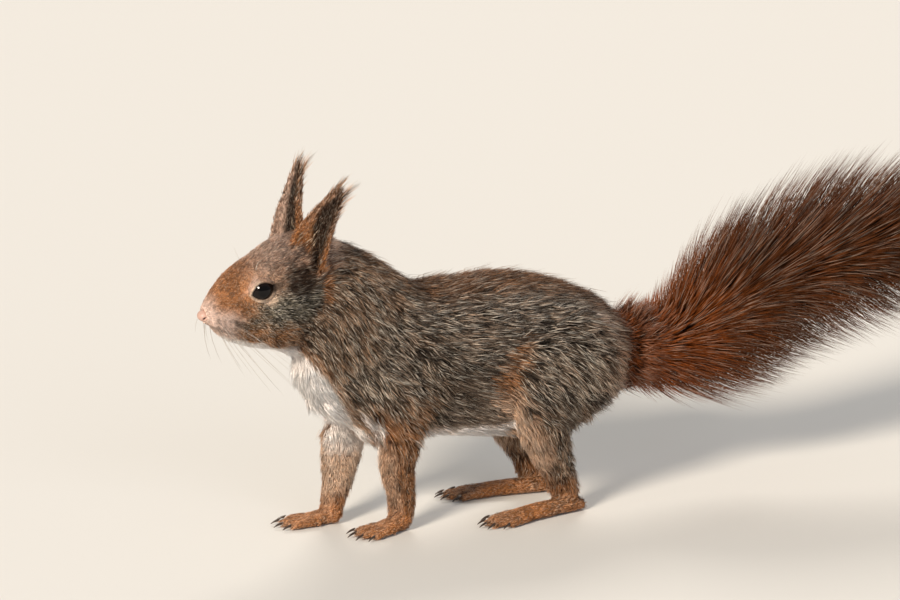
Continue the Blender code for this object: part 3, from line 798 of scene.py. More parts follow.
def paint_head(points, normals, head, wobble, seam, paint):
    """Sandy forehead, warm bridge of the nose, grey cheek, russet jaw, pale muzzle with dark
    spots where its whiskers grow, and a pale ring round each eye."""
    x, y, z = points.T
    soft = 0.5 * wobble
    crown = rise(100, 109, z + soft - 0.20 * (x + 79))
    paint("ash", head, 0.8)
    paint("sandy", head, 0.95 * crown)
    # Partly the crown's own pink and partly painted highlight: the blush is laid where the crown
    # faces up, towards the light.
    paint("blush", head, 0.3 * crown * rise(0.2, 0.8, normals[:, 2]))
    paint("russet", head, 0.35 * rise(-68, -58, x + soft) * rise(104, 112, z))
    paint("rufous", head, 0.9 * rise(-74, -87, x + soft) * rise(91, 98, z))
    jaw = rise(96, 89, z + soft) * rise(-94, -85, x)
    paint("russet", head, 0.7 * jaw)
    paint("rufous", head, 0.4 * jaw)
    paint("blush", head, 0.95 * rise(-84, -91, x + soft) * rise(101, 95, z))
    tip = x + 0.35 * np.maximum(z - 97, 0) + 0.3 * wobble
    paint("blush", head, 0.9 * rise(-91, -98, tip))
    for side in SIDES:
        middle, look, ahead, top = eye_frame(side)
        distance, out = lid_place(points, side)
        lift = (points - middle) @ top / 6
        front = (points - middle) @ ahead / 6
        near = head & (distance < 12)
        below = rise(3.2, 1.5, out) * rise(0.1, -0.4, lift) * rise(-0.3, 0.3, front)
        paint("blush", near, 0.6 * below)
        limit = 1.25 + 0.4 * rise(0.1, 0.7, lift)
        behind = rise(-0.15, -0.55, front + 0.35 * lift)
        ring = rise(limit + 0.12, limit - 0.08, out) * (1 - 0.9 * behind)
        paint("cream", near, 0.95 * ring)
        streak = points - middle - look * 3.4 + ahead * 5.9 - top * 0.9
        streak = lengths_of(streak - np.outer(streak @ ahead, ahead) * 0.4)
        paint("bare", near, 0.8 * rise(2.4, 1.4, streak))
        paint("bare", near, rise(1.12, 1.04, out))
    beside = head & (np.abs(y) > 3)
    for spot in whisker_places():
        away = np.hypot(x - spot[0], z - spot[2])
        paint("umber", beside, 0.4 * rise(0.8, 0.3, away))
    smudge = np.hypot((x + 87.6) / 2.2, (z - 93.4 + 0.6 * (x + 87.6)) / 1.2)
    paint("umber", beside, 0.85 * rise(1.4, 0.6, smudge))
    paint("white", head, rise(3.0, 0.6, above_white(points, 0.4 * wobble)))
    paint("bare", head, 0.5 * seam)
    paint("blush", head, rise(4.2, 3.4, lengths_of(points - NOSE)))


def whisker_places():
    """Where whiskers grow: rows on each side of the muzzle."""
    return [(-95.3 + 2.3 * place, sign * (5.6 + 0.8 * place), 95.3 - 1.5 * row - 0.3 * place)
            for sign in SIDES.values() for row in range(WHISKER_ROWS) for place in range(WHISKERS)]


def paint_ears(points, kinds, paint):
    """Warm rims and roots, painted shade in the cup, and on the head a painted shadow below each
    ear with a warm edge behind it."""
    head = np.isin(kinds, ("head", "neck"))
    for side, sign in SIDES.items():
        # Painted shadow: umber on the head below each ear, where the ear shades it.
        painted_hollow_shade = lengths_of((points - (-63, 16 * sign, 109.5)) / (1.1, 1.3, 1.15))
        paint("umber", head, 0.9 * rise(7.5, 4.0, painted_hollow_shade))
        behind = lengths_of((points - (-51.5, 17 * sign, 107)) / (0.55, 1.2, 1.8))
        paint("rufous", head, 0.8 * rise(5.5, 3.5, behind))
        mine = (kinds == "ear") & (points[:, 1] * sign > 0)
        share, inward, cup = np.zeros((3, len(points)))
        share[mine], inward[mine], cup[mine] = ear_places(points[mine], side)
        paint("rufous", mine, 1.0)
        paint("sandy", mine, 0.75 * rise(0.3, 0.8, share))
        paint("umber", mine, (1 - cup) * 0.4 * rise(0.4, 0.9, share))
        pale = EAR_PALE[side] * rise(0.2, -0.3, inward) * cup
        paint("sandy", mine, pale)
        paint("blush", mine, 0.5 * pale)
        outer, inner, tip = EAR_CUP_SHADE[side]
        border = inner + (tip - inner) * rise(0.0, 0.75, share)
        # Painted shade: umber deep in each ear's cup.
        painted_cup_shade = rise(border + 0.12, border - 0.12, inward) * rise(outer - 0.12, outer + 0.12, inward)
        paint("umber", mine, cup * 0.97 * painted_cup_shade)


# ---------------------------------------------------------------- lie of the coat

def lie_of_coat(points, normals, kinds, edges, line):
    """The way the hair runs over the skin, as a unit direction at each point."""
    x, y, z = points.T
    sign = np.sign(y)
    beside = np.minimum(np.abs(y) / 14, 1)
    haunch = 0.35 - 1.1 * rise(8, 58, x)
    along = np.interp(x, line.centre[:, 0], line.way)
    ways = {
        "head": (1, 0.3 * sign * beside, np.clip((z - 104) / 26, -0.55, 0.35)),
        "neck": (0.8, 0.1 * sign, -0.4 - 0.75 * beside),
        "trunk": (1, 0.12 * sign, -0.04 - 0.85 * beside * rise(96, 64, z) * rise(30, -30, x)),
        "foreleg_upper": (0.75, 0, -0.8),
        "foreleg_forearm": (0.12, 0, -1),
        "forefoot": (-1, 0.15 * sign, -0.25),
        "hindleg_thigh": (0.8, 0.05 * sign, haunch * rise(58, 76, z) - 0.85 * rise(76, 58, z)),
        "hindleg_shank": (0.45, 0, -1),
        "hindfoot": (-1, 0.15 * sign, -0.12),
        "tail": line.at(along, line.along).T,
    }
    flow = np.zeros_like(points)
    for kind, way in ways.items():
        mine = kinds == kind
        flow[mine] = np.stack(np.broadcast_arrays(x, *way)[1:], 1)[mine]
    for side in SIDES:
        mine = (kinds == "ear") & (y * SIDES[side] > 0)
        share = np.clip((z - EAR_ROOT[2]) / EAR_LENGTH, 0, 1)
        flow[mine] = [ear_way(side, s) for s in share[mine]]
    even = spread(points, unit(flow), 9.0, np.ones(len(points)))
    flow = np.where(np.isin(kinds, FEET)[:, None], unit(flow), even)
    flow = smoothed(flow, edges, 12)
    for side in SIDES:
        flow = round_the_eye(points, flow, side)
    return unit(smoothed(flattened(flow, normals), edges, 4))


def round_the_eye(points, flow, side):
    """Hair parts ahead of the eye and runs round it."""
    away = points - eye_frame(side)[0]
    way = unit(away)
    near = rise(12.5, 7.5, lengths_of(away))[:, None]
    return flow + way * (0.35 - np.minimum(dot(flow, way), 0)) * near


def coat_traits(points, normals, kinds, edges, seam):
    """Length, lift, width and closeness of the tufts at each point of the skin.  None stand on
    the soles, and they thin out along the tail."""
    x, _, z = points.T
    traits = np.array([COAT[kind][DEPTH + 1:] for kind in kinds])
    head, ear = kinds == "head", kinds == "ear"
    run = rise(-99, -54, x)
    traits[:, 0] = np.where(head, 1.15 + 4.6 * run ** 1.5, traits[:, 0])
    traits[:, 2] = np.where(head, 0.085 + 0.055 * run, traits[:, 2])
    traits[:, 3] = np.where(head, 2.1 - 1.1 * run, traits[:, 3])
    traits = np.where(ear[:, None], traits, spread(points, traits, 7.0, ~ear))
    length, lift, width, close = smoothed(traits, edges, 6).T
    share = (z - EAR_ROOT[2]) / EAR_LENGTH
    length = length + ear * 2.6 * rise(0.45, 1.0, share)
    for side in SIDES:
        distance, out = lid_place(points, side)
        near = rise(11.0, 6.4, distance)
        length = length * (1 - 0.6 * near)
        lift = lift * (1 - 0.45 * near)
        close = close * (1 + 0.8 * near)
        close = np.where(distance < 9, close * rise(1.02, 1.15, out), close)
    bib = np.isin(kinds, ("trunk", "neck")) * rise(4, -2, above_white(points, 0))
    lift = lift * (1 - 0.45 * bib)
    close = close * rise(2.6, 3.3, lengths_of(points - NOSE)) * (1 - 0.6 * seam)
    close = np.where(kinds == "tail", close * rise(*COAT_FADE, x), close)
    close[(normals[:, 2] < -0.5) & (z < 1.0)] = 0
    return length, lift, width, close


# ---------------------------------------------------------------- hair

def strand_mesh(name, paths, across, widths, tags, tones, spots):
    """Closed spindles of hair, each a point at its root, a ring at each bend and a point at
    its tip.  tags are two random numbers, each strand's own and its lock's, tones its weights
    of colour and spots its place on the map."""
    count, stations, _ = paths.shape
    rings = stations - 2
    per = 2 + 3 * rings
    share = np.cumsum(lengths_of(np.diff(paths, axis=1)), axis=1)
    share /= share[:, -1:]
    points = np.empty((count, per, 3))
    along = np.empty((count, per))
    shift = np.zeros(per)
    points[:, 0], points[:, -1] = paths[:, 0], paths[:, -1]
    along[:, 0], along[:, -1] = 0, 1
    for k in range(rings):
        run = unit(paths[:, k + 2] - paths[:, k])
        sideways = flattened(across, run)
        taper = 1.0 if rings == 1 else TAPER[k]
        half = (widths * taper)[:, None]
        first = 1 + 3 * k
        points[:, first] = paths[:, k + 1] + sideways * half
        points[:, first + 1] = paths[:, k + 1] - sideways * half
        points[:, first + 2] = paths[:, k + 1] + np.cross(run, sideways) * half * THICKNESS
        along[:, first:first + 3] = share[:, k:k + 1]
        shift[first:first + 3] = (0.5, -0.5, 0)
    tris = [(0, 1, 3), (0, 3, 2), (0, 2, 1)]
    for near in range(1, per - 4, 3):
        for i, j in ((near, near + 2), (near + 2, near + 1), (near + 1, near)):
            tris += [(i, i + 3, j), (j, i + 3, j + 3)]
    last, tip = per - 4, per - 1
    tris += [(last, tip, last + 2), (last + 2, tip, last + 1), (last + 1, tip, last)]
    tris = (np.array(tris) + per * np.arange(count)[:, None, None]).reshape(-1, 3)
    mesh = new_mesh(name, points.reshape(-1, 3), tris)
    strand = np.stack([along, *(np.repeat(t[:, None], per, 1) for t in tags)], 2)
    tint(mesh, "strand", strand.reshape(-1, 3))
    store_tones(mesh, np.repeat(tones, per, axis=0))
    places = np.stack([spots[:, :1] + PATCH * shift, spots[:, 1:] + PATCH * (along - 0.5)], 2)
    layer = mesh.uv_layers.new(name="OFBake")
    layer.data.foreach_set("uv", places.reshape(-1, 2)[tris.ravel()].astype(np.float32).ravel())
    return mesh


def store_tones(mesh, weights):
    """The tones at each point as colours: at the root, with how ticked the hair is beside it,
    and at the tip."""
    roots, tips, ticked = zip(*TONES.values())
    roots, tips = (np.array([linear(colour)[:3] for colour in row]) for row in (roots, tips))
    tint(mesh, "coat_root", np.column_stack([weights @ roots, weights @ np.array(ticked)]))
    tint(mesh, "coat_tip", weights @ tips)


def unwrapped(points, tris):
    """A map of a stretch of skin: the place of each triangle's corners in a unit square."""
    used, index = np.unique(tris, return_inverse=True)
    obj = new_object("scratch", new_mesh("scratch", points[used], index.reshape(-1, 3)))
    bpy.context.view_layer.objects.active = obj
    obj.select_set(True)
    bpy.ops.object.mode_set(mode="EDIT")
    bpy.ops.mesh.select_all(action="SELECT")
    bpy.ops.uv.smart_project(angle_limit=math.radians(66), island_margin=0.004)
    bpy.ops.object.mode_set(mode="OBJECT")
    places = np.empty(len(tris) * 6)
    obj.data.uv_layers[0].data.foreach_get("uv", places)
    bpy.data.objects.remove(obj)
    return places.reshape(-1, 3, 2)


def clumped(tips, roots, rng, size, pull):
    """Tips drawn together in locks of about this many, and each strand's lock's own number."""
    count = len(roots)
    centres = rng.choice(count, max(count // size, 1), replace=False)
    lock = nearest(roots[centres], roots)
    leader = centres[lock]
    own = tips - roots
    together = tips[leader] - roots[leader] + (roots[leader] - roots) * 0.85
    pull = pull * rise(0.6, 0.9, dot(unit(own), unit(together)))
    way = unit(own * (1 - pull) + together * pull)
    return roots + way * lengths_of(own)[:, None], rng.random(len(centres))[lock]


def in_locks(tips, roots, rng, locks):
    """Tips drawn together in small locks and again in wide ones, and a number for each strand
    that it shares with its locks."""
    tips, small = clumped(tips, roots, rng, *locks[0])
    tips, wide = clumped(tips, roots, rng, *locks[1])
    return tips, 0.6 * small + 0.4 * wide


def fur(name, skin, chosen, count, seed):
    """A stretch of coat: tufts over the chosen triangles of the skin."""
    rng = np.random.default_rng(seed)
    points, tris, normals, flow, traits, tones = skin
    part = tris[chosen]
    share = np.cumsum(lengths_of(corner_normals(points, part)) / 2 * traits[3][part].mean(1))
    picked = np.searchsorted(share / share[-1], rng.random(count) * 0.9999)    # never past the last
    corners = rng.dirichlet((1, 1, 1), count)
    own = part[picked]

    def blend(values):
        """The skin's numbers at each root."""
        return np.einsum("ij,ij...->i...", corners, values[own])

    roots = blend(points)
    normal = unit(blend(normals))
    way = flattened(blend(flow), normal)
    length, lift, width = (blend(traits[k]) for k in range(3))
    stray = np.radians(rng.normal(0, STRAY, count) + 10 * ripple(roots, 6.0, 0.5))[:, None]
    way = way * np.cos(stray) + np.cross(normal, way) * np.sin(stray)
    guard = rng.random(count) < GUARD_SHARE
    length = length * rng.uniform(0.7, 1.1, count) * np.where(guard, GUARD_LENGTH, 1)
    lift = lift * np.clip(rng.normal(1, 0.25, count), 0.4, 1.9) * np.where(guard, GUARD_LIFT, 1)
    lift = np.radians(lift)
    width = width * rng.uniform(0.75, 1.25, count) * np.where(guard, GUARD_WIDTH, 1)

    def step(angle, share):
        """This share of each tuft's length, at this angle off the skin."""
        run = way * np.cos(angle)[:, None] + normal * np.sin(angle)[:, None]
        return run * (share * length)[:, None]

    bend = roots + step(lift * 1.4, 0.42)
    tips, lock = in_locks(bend + step(lift * 0.45, 0.58), roots, rng, BODY_LOCKS)
    paths = np.stack([roots - normal * 0.35, bend, tips], 1)
    paths[:, 1:, 2] = np.maximum(paths[:, 1:, 2], BODY_HEIGHT)
    places = np.einsum("ij,ijk->ik", corners, unwrapped(points, part)[picked])
    shown = nearest(points, roots + way * (0.5 * length)[:, None])
    mesh = strand_mesh(name, paths, np.cross(normal, way), width, (rng.random(count), lock),
                       tones[shown], places)
    dress(name, mesh, "hair")


def tail_fur(name, line, reach, count, seed):
    """Long hair over one stretch of the tail, rooted on its core and swept towards its tip."""
    rng = np.random.default_rng(seed)
    start, end = (r * line.length for r in reach)
    tip_at = rng.uniform(start, end, count)
    run = tip_at / line.length
    angle = rng.uniform(0, 2 * math.pi, count)
    angle = angle - 0.25 * np.sin(2 * angle)
    share = 1.05 - 0.62 * rng.random(count) ** 2
    share = share * (1 + 0.08 * np.maximum(-np.sin(angle), 0))
    end_share = rise(0.88, 0.97, run)
    share = share * (1 - end_share) + rng.random(count) ** 0.6 * end_share
    tips = line.spot(tip_at, angle, share)
    tips = tips + line.at(tip_at, line.along) * (7 * end_share * (1 - share))[:, None]
    high = lengths_of(tips - line.at(tip_at, line.centre))
    lean = 68 - 14 * rise(0.1, 0.5, run) - 20 * rise(0.6, 1.0, run)
    lean = np.radians(rng.normal(0, 5, count) + lean)
    first = np.minimum(rng.uniform(0.01, 0.09, count) * line.length, tip_at)
    root_at = np.clip(tip_at - high / np.tan(lean), first, 0.94 * line.length)
    turn = angle + rng.normal(0, 0.12, count)
    outward = line.outward(root_at, turn)
    roots = line.at(root_at, line.centre) + outward * (line.core(root_at) * 0.6)[:, None]
    tips, lock = in_locks(tips, roots, rng, TAIL_LOCKS)
    whole = tips - roots
    rising = outward * dot(whole, outward)
    control = roots + rising * 0.6 + (whole - rising) * 0.28
    bends = [roots * (1 - t) ** 2 + control * 2 * t * (1 - t) + tips * t ** 2 for t in (0.36, 0.7)]
    paths = np.stack([roots, *bends, tips], 1)
    paths[:, 1:, 2] = np.maximum(paths[:, 1:, 2], TAIL_HEIGHT)
    width = rng.uniform(0.13, 0.23, count)
    spots = np.stack([(root_at / line.length - 0.5 * reach[0]) / max(reach[1], 0.1),
                      turn / (2 * math.pi) % 1], 1)
    orange = 0.7 * rise(0.42, 0.12, run) + 0.15 * (1 + ripple(roots, 15.0, 3.0))
    tones = np.outer(1 - orange, PURE["chestnut"]) + np.outer(orange, PURE["copper"])
    across = unit(np.cross(outward, line.at(root_at, line.along)))
    mesh = strand_mesh(name, paths, across, width, (rng.random(count), lock), tones,
                       np.clip(spots, 0.004, 0.996))
    dress(name, mesh, "tail_hair")


def ear_tufts(name, count, seed):
    """Long hair on the rim and tip of each ear, and pale hair rising out of its cup."""
    rng = np.random.default_rng(seed)
    paths, tones = [], []
    for side in SIDES:
        rings = ear_rings(side)
        middle = rings.mean(1)
        rim = rng.random(count) < 0.8
        high = np.where(rim, 0.35 + 0.63 * rng.random(count) ** 0.6, rng.uniform(0.16, 0.5, count))
        at = (high * (len(rings) - 1)).astype(int)
        edge = np.where(rng.random(count) < 0.5, 0, EAR_ARC - 1) + rng.integers(-2, 3, count)
        inside = rng.integers(2, 11, count)
        cup = 2 * EAR_ARC - 1 - inside if side == "left" else EAR_ARC + inside
        root = rings[at, np.where(rim, edge, cup) % (2 * EAR_ARC)]
        up = np.array([ear_way(side, share) for share in ear_share(high)])
        away = unit(root - middle[at]) * np.where(rim, 0.16, -0.35)[:, None]
        way = unit(up + away + rng.normal(0, 0.1, (count, 3)))
        length = np.where(rim, 3.0 + 6.5 * rise(0.6, 1.0, high), 6.0)
        length = (length * rng.uniform(0.7, 1.15, count))[:, None]
        tip = root + way * length + np.array((0.16, 0, 0)) * length
        paths.append(np.stack([root - way * 0.8, root + way * 0.5 * length, tip], 1))
        sandy = rng.random((count, 1)) < 0.6
        on_rim = np.where(sandy, PURE["sandy"], PURE["russet"])
        tones.append(np.where(rim[:, None], on_rim, PURE["buff"]))
    paths, tones = np.vstack(paths), np.vstack(tones)
    total = len(paths)
    across = unit(np.cross(paths[:, 2] - paths[:, 0], (0, 1, 0.2)))
    spots = np.stack([np.arange(total) / total * 0.98 + 0.01, rng.uniform(0.01, 0.99, total)], 1)
    tags = (rng.random(total), rng.random(total))
    widths = np.full(total, EAR_TUFT_WIDTH)
    mesh = strand_mesh(name, paths, across, widths, tags, tones, spots)
    dress(name, mesh, "hair")


# ---------------------------------------------------------------- finishes

SMOOTH = {"interpolation_type": "SMOOTHSTEP"}


def linear(colour):
    """An sRGB hex colour as linear red, green and blue, and full alpha."""
    parts = [int(colour[k:k + 2], 16) / 255 for k in (1, 3, 5)]
    return [c / 12.92 if c <= 0.04045 else ((c + 0.055) / 1.055) ** 2.4 for c in parts] + [1.0]


def feed(tree, node, inputs):
    """Give a node's inputs their values, or their links."""
    for name, value in inputs.items():
        socket = node.inputs[name]
        if isinstance(value, bpy.types.NodeSocket):
            tree.links.new(value, socket)
        else:
            socket.default_value = value


def add(tree, kind, inputs=None, **settings):
    """Add a node of this kind with its settings and inputs, and give its outputs."""
    made = tree.nodes.new(kind)
    for name, value in settings.items():
        setattr(made, name, value)
    feed(tree, made, inputs or {})
    return made.outputs


def new_finish(name, shader_inputs):
    """A material whose shader takes the inputs that this function works out in its tree."""
    made = bpy.data.materials.new(name)
    made.use_nodes = True
    tree = made.node_tree
    feed(tree, tree.nodes["Principled BSDF"], shader_inputs(tree))
    return made


def coat_colours(tree):
    """The coat's colour at the root and at the tip, and how strongly it is ticked."""
    root = add(tree, "ShaderNodeAttribute", attribute_name="coat_root")
    tip = add(tree, "ShaderNodeAttribute", attribute_name="coat_tip")
    return root["Color"], tip["Color"], root["Alpha"]


def hair_finish(tree):
    """Guard hair and wool, keratin: dark at the root and paler at the tip, with single hairs
    ticked black or cream; the scales of each hair give a soft broken gloss."""
    root, tip, tick = coat_colours(tree)
    strand = add(tree, "ShaderNodeAttribute", attribute_name="strand")["Color"]
    along, own, lock = add(tree, "ShaderNodeSeparateColor", {0: strand})[:3]
    paling = add(tree, "ShaderNodeMapRange", {0: along, 1: 0.25, 2: 0.95}, **SMOOTH)[0]
    colour = add(tree, "ShaderNodeMix", {0: paling, 6: root, 7: tip}, data_type="RGBA")[2]

    # Locks are lighter or darker than each other, most of all where the coat is ticked.
    shade = {0: lock, 1: 0.18, 2: 0.82, 3: 0.25, 4: 1.7}
    shade = add(tree, "ShaderNodeMapRange", shade, **SMOOTH)[0]
    uneven = add(tree, "ShaderNodeMapRange", {0: tick, 2: 0.8, 3: 0.25}, **SMOOTH)[0]
    shade = add(tree, "ShaderNodeMix", {0: uneven, 2: 1.0, 3: shade})[0]
    colour = add(tree, "ShaderNodeVectorMath", {0: colour, "Scale": shade}, operation="SCALE")[0]

    # About a third of ticked hairs are black, and a quarter are cream towards the tip.
    black = add(tree, "ShaderNodeMapRange", {0: own, 1: 0.42, 2: 0.32, 4: 0.85}, **SMOOTH)[0]
    cream = add(tree, "ShaderNodeMapRange", {0: own, 1: 0.70, 2: 0.82}, **SMOOTH)[0]
    outer = add(tree, "ShaderNodeMapRange", {0: along, 1: 0.35, 2: 0.7, 4: 0.85}, **SMOOTH)[0]
    cream = add(tree, "ShaderNodeMath", {0: cream, 1: outer}, operation="MULTIPLY")[0]
    for amount, dye in ((black, "#110b08"), (cream, "#f7ead7")):
        amount = add(tree, "ShaderNodeMath", {0: tick, 1: amount}, operation="MULTIPLY")[0]
        dyed = {0: amount, 6: colour, 7: linear(dye)}
        colour = add(tree, "ShaderNodeMix", dyed, data_type="RGBA")[2]
    return {"Base Color": colour, "Roughness": 0.45, "IOR": 1.55, "Specular IOR Level": 0.14}


def hide_finish(tree):
    """Skin with the short under-fur on it: matt, in the coat's own colours, broken up by down
    that is drawn a millimetre across, coarser than it is, so that it shows; bare at the lids
    and lips."""
    root, tip, _ = coat_colours(tree)
    place = add(tree, "ShaderNodeTexCoord")["Object"]
    down = {"Vector": place, "Scale": 1 / (1.1 * MM), "Detail": 4.0}
    down = add(tree, "ShaderNodeTexNoise", down)[0]
    paling = {0: down, 1: 0.3, 2: 0.7, 3: 0.15, 4: 0.6}
    paling = add(tree, "ShaderNodeMapRange", paling, **SMOOTH)[0]
    colour = add(tree, "ShaderNodeMix", {0: paling, 6: root, 7: tip}, data_type="RGBA")[2]
    bump = {"Height": down, "Strength": 0.6, "Distance": 0.3 * MM}
    bump = add(tree, "ShaderNodeBump", bump)[0]
    return {"Base Color": colour, "Roughness": 0.7, "Specular IOR Level": 0.25, "Normal": bump}


def eye_finish(tree):
    """A wet eye: a black pupil in an iris so dark a brown that it hardly parts from it, under
    a clear cornea and a film of tears that give one hard bright light."""
    turned = add(tree, "ShaderNodeAttribute", attribute_name="from_pupil")["Fac"]
    inner = add(tree, "ShaderNodeMapRange", {0: turned, 1: 0.42, 2: 0.5}, **SMOOTH)[0]
    outer = add(tree, "ShaderNodeMapRange", {0: turned, 1: 0.95, 2: 0.75}, **SMOOTH)[0]
    iris = add(tree, "ShaderNodeMath", {0: inner, 1: outer}, operation="MULTIPLY")[0]
    colours = {0: iris, 6: linear("#020101"), 7: linear("#0e0604")}
    colour = add(tree, "ShaderNodeMix", colours, data_type="RGBA")[2]
    return {"Base Color": colour, "Roughness": 0.03, "IOR": 1.376, "Specular IOR Level": 0.4}


def nose_finish(tree):
    """Bare nose leather: pink skin in pebbles about half a millimetre across, damp enough for
    a soft gloss, with painted shade darkening the nostrils and the split down its middle."""
    place = add(tree, "ShaderNodeTexCoord")["Object"]
    cells = {"Vector": place, "Scale": 1 / (0.45 * MM)}
    pebbles = add(tree, "ShaderNodeTexVoronoi", cells)["Distance"]
    edges = add(tree, "ShaderNodeMapRange", {0: pebbles, 2: 0.6}, **SMOOTH)[0]
    colours = {0: edges, 6: linear("#c9a698"), 7: linear("#bb9788")}
    colour = add(tree, "ShaderNodeMix", colours, data_type="RGBA")[2]
    # Painted shade: the nostril slits and the split down the pad's middle are darkened.
    painted_hollow_shade = add(tree, "ShaderNodeAttribute", attribute_name="painted_hollow_shade")["Fac"]
    painted_hollow_shade = add(tree, "ShaderNodeMapRange", {0: painted_hollow_shade, 1: 0.25, 2: 0.7}, **SMOOTH)[0]
    colours = {0: painted_hollow_shade, 6: colour, 7: linear("#3a1f18")}
    colour = add(tree, "ShaderNodeMix", colours, data_type="RGBA")[2]
    bump = {"Height": pebbles, "Strength": 0.4, "Distance": 0.1 * MM}
    bump = add(tree, "ShaderNodeBump", bump)[0]
    return {"Base Color": colour, "Roughness": 0.42, "Normal": bump}


def claw_finish(tree):
    """Claw horn: dark layered keratin, polished by use, with paler clouds where it thins, as
    wide as half a millimetre."""
    place = add(tree, "ShaderNodeTexCoord")["Object"]
    layers = {"Vector": place, "Scale": 1 / (0.6 * MM), "Detail": 3.0}
    layers = add(tree, "ShaderNodeTexNoise", layers)[0]
    colours = {0: layers, 6: linear("#1e1714"), 7: linear("#4b3a2e")}
    colour = add(tree, "ShaderNodeMix", colours, data_type="RGBA")[2]
    return {"Base Color": colour, "Roughness": 0.3, "IOR": 1.55}


def whisker_finish(tree):
    """Whiskers: stiff clear keratin that looks silvery, darker towards the root."""
    strand = add(tree, "ShaderNodeAttribute", attribute_name="strand")["Color"]
    along = add(tree, "ShaderNodeSeparateColor", {0: strand})[0]
    paling = add(tree, "ShaderNodeMapRange", {0: along, 2: 0.35}, **SMOOTH)[0]
    colours = {0: paling, 6: linear("#3a2d25"), 7: linear("#cfc6bb")}
    colour = add(tree, "ShaderNodeMix", colours, data_type="RGBA")[2]
    return {"Base Color": colour, "Roughness": 0.35}


def paper_finish(tree):
    """Studio paper: plain, matt and pale, so that it takes only soft shadows."""
    return {"Base Color": linear("#d9d6d1"), "Roughness": 0.9}


# Each finish: its material's name and its function.
FINISHES = {
    "hair": ("hair", hair_finish),
    "tail_hair": ("hair", hair_finish),
    "hide": ("hide", hide_finish),
    "eye": ("wet_eye", eye_finish),
    "nose": ("nose_leather", nose_finish),
    "claw": ("claw_horn", claw_finish),
    "whisker": ("whisker", whisker_finish),
}
finished = {}


def dress(name, mesh, finish):
    """The mesh as a piece of the squirrel, in its finish."""
    if finish not in finished:
        finished[finish] = new_finish(*FINISHES[finish])
    mesh.materials.append(finished[finish])
    obj = new_object(name, mesh)
    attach(obj, "root")
    return obj


# ---------------------------------------------------------------- pieces

def make_skin(points, tris, tones):
    """The one skin in place of every length of flesh."""
    mesh = new_mesh("skin", points, tris)
    store_tones(mesh, tones)
    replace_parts(dress("skin", mesh, "hide"), *FLESH)


def make_eye(side):
    """An eyeball with its clear front standing out, in place of the plain ball."""
    middle, look = eye_frame(side)[:2]
    points, tris = ball((0, 0, 0), (1, 1, 1), 48)
    turned = np.arccos(np.clip(points[:, 2], -1, 1))
    points = points * (EYE_BALL + CORNEA * rise(0.75, 0.2, turned))[:, None]
    across = np.cross(look, (0, 0, 1))
    axes = unit(np.stack([across, np.cross(look, across), look]))
    mesh = new_mesh(f"eyeball_{side}", points @ axes + middle, tris)
    tint(mesh, "from_pupil", np.repeat(turned[:, None], 3, 1))
    obj = dress(f"eyeball_{side}", mesh, "eye")
    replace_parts(obj, f"eye_{side}")


def make_nose():
    """The bare pad: a low cushion split down its middle, with a curved slit of a nostril low on
    each side."""
    points, tris = ball((0, 0, 0), (1, 1, 1), 72)
    x, y, z = points.T
    round_way = np.degrees(np.arctan2(np.abs(y), -x)) - 66
    high = np.degrees(np.arcsin(np.clip(z, -1, 1))) + 16
    run, wide = 0.6 * round_way + 0.8 * high, 0.8 * round_way - 0.6 * high
    slit = np.exp(-(run / 24) ** 2 - ((wide - 0.012 * run ** 2) / 9) ** 2)
    split = np.exp(-(y / 0.08) ** 2) * rise(0.2, -0.3, z) * rise(0.1, 0.7, -x)
    wing = 0.06 * np.exp(-((wide - 22) / 12) ** 2 - (run / 34) ** 2)
    middle, radii = NOSE_PAD
    points = points * (1 - 0.3 * slit - 0.14 * split + wing)[:, None] * radii
    mesh = new_mesh("nose_pad", points + NOSE + middle, tris)
    # Painted shade for each point: deep in a nostril or in the split.
    tint(mesh, "painted_hollow_shade", np.repeat(np.maximum(slit, 0.6 * split)[:, None], 3, 1))
    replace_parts(dress("nose_pad", mesh, "nose"), "nose")


def make_claws():
    """The claws' own solids, rounded."""
    points, tris = worked(*joined([solid(name) for name in CLAWS]), "SUBSURF", levels=2)
    points[:, 2] = np.maximum(points[:, 2], 0.05)
    obj = dress("claws", new_mesh("claws", points, tris), "claw")
    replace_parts(obj, *CLAWS)


def make_whiskers(skin_points):
    """Rows of whiskers on each side of the muzzle and one over each eye."""
    rng = np.random.default_rng(WHISKER_SEED)
    places = whisker_places()
    ways, lengths = [], []
    for sign in SIDES.values():
        for row, step in itertools.product(range(WHISKER_ROWS), range(WHISKERS)):
            ways.append((0.10 + 0.16 * step, sign * 0.85, -0.40 - 0.16 * row))
            lengths.append(rng.uniform(*WHISKER_LENGTH) + 2 * step)
    for sign in SIDES.values():
        places.append((BROW_WHISKER[0], sign * BROW_WHISKER[1], BROW_WHISKER[2]))
        ways.append((-0.3, sign * 0.5, 0.8))
        lengths.append(BROW_LENGTH)
    count = len(places)
    roots = skin_points[nearest(skin_points, places)]
    ways = unit(np.array(ways))
    ways = unit(ways + rng.normal(0, 0.08, ways.shape))
    stations = []
    for t in (0, 0.16, 0.34, 0.54, 0.76, 1):
        drop = np.array((0.22, 0, -0.2)) * t ** 2
        stations.append(roots + (ways * t + drop) * np.array(lengths)[:, None])
    spots = np.stack([np.linspace(0.05, 0.95, count), np.full(count, 0.5)], 1)
    mesh = strand_mesh("whiskers", np.stack(stations, 1), unit(np.cross(ways, (0, 0, 1))),
                       np.full(count, WHISKER_WIDTH), (rng.random(count), rng.random(count)),
                       np.zeros((count, len(TONES))), spots)
    dress("whiskers", mesh, "whisker")


# ---------------------------------------------------------------- setting

def turned_to(obj, place, back):
    """Set a lamp or camera at this place with its back this way."""
    obj.location = place
    obj.rotation_euler = Vector(back).to_track_quat("Z", "Y").to_euler()
    return obj


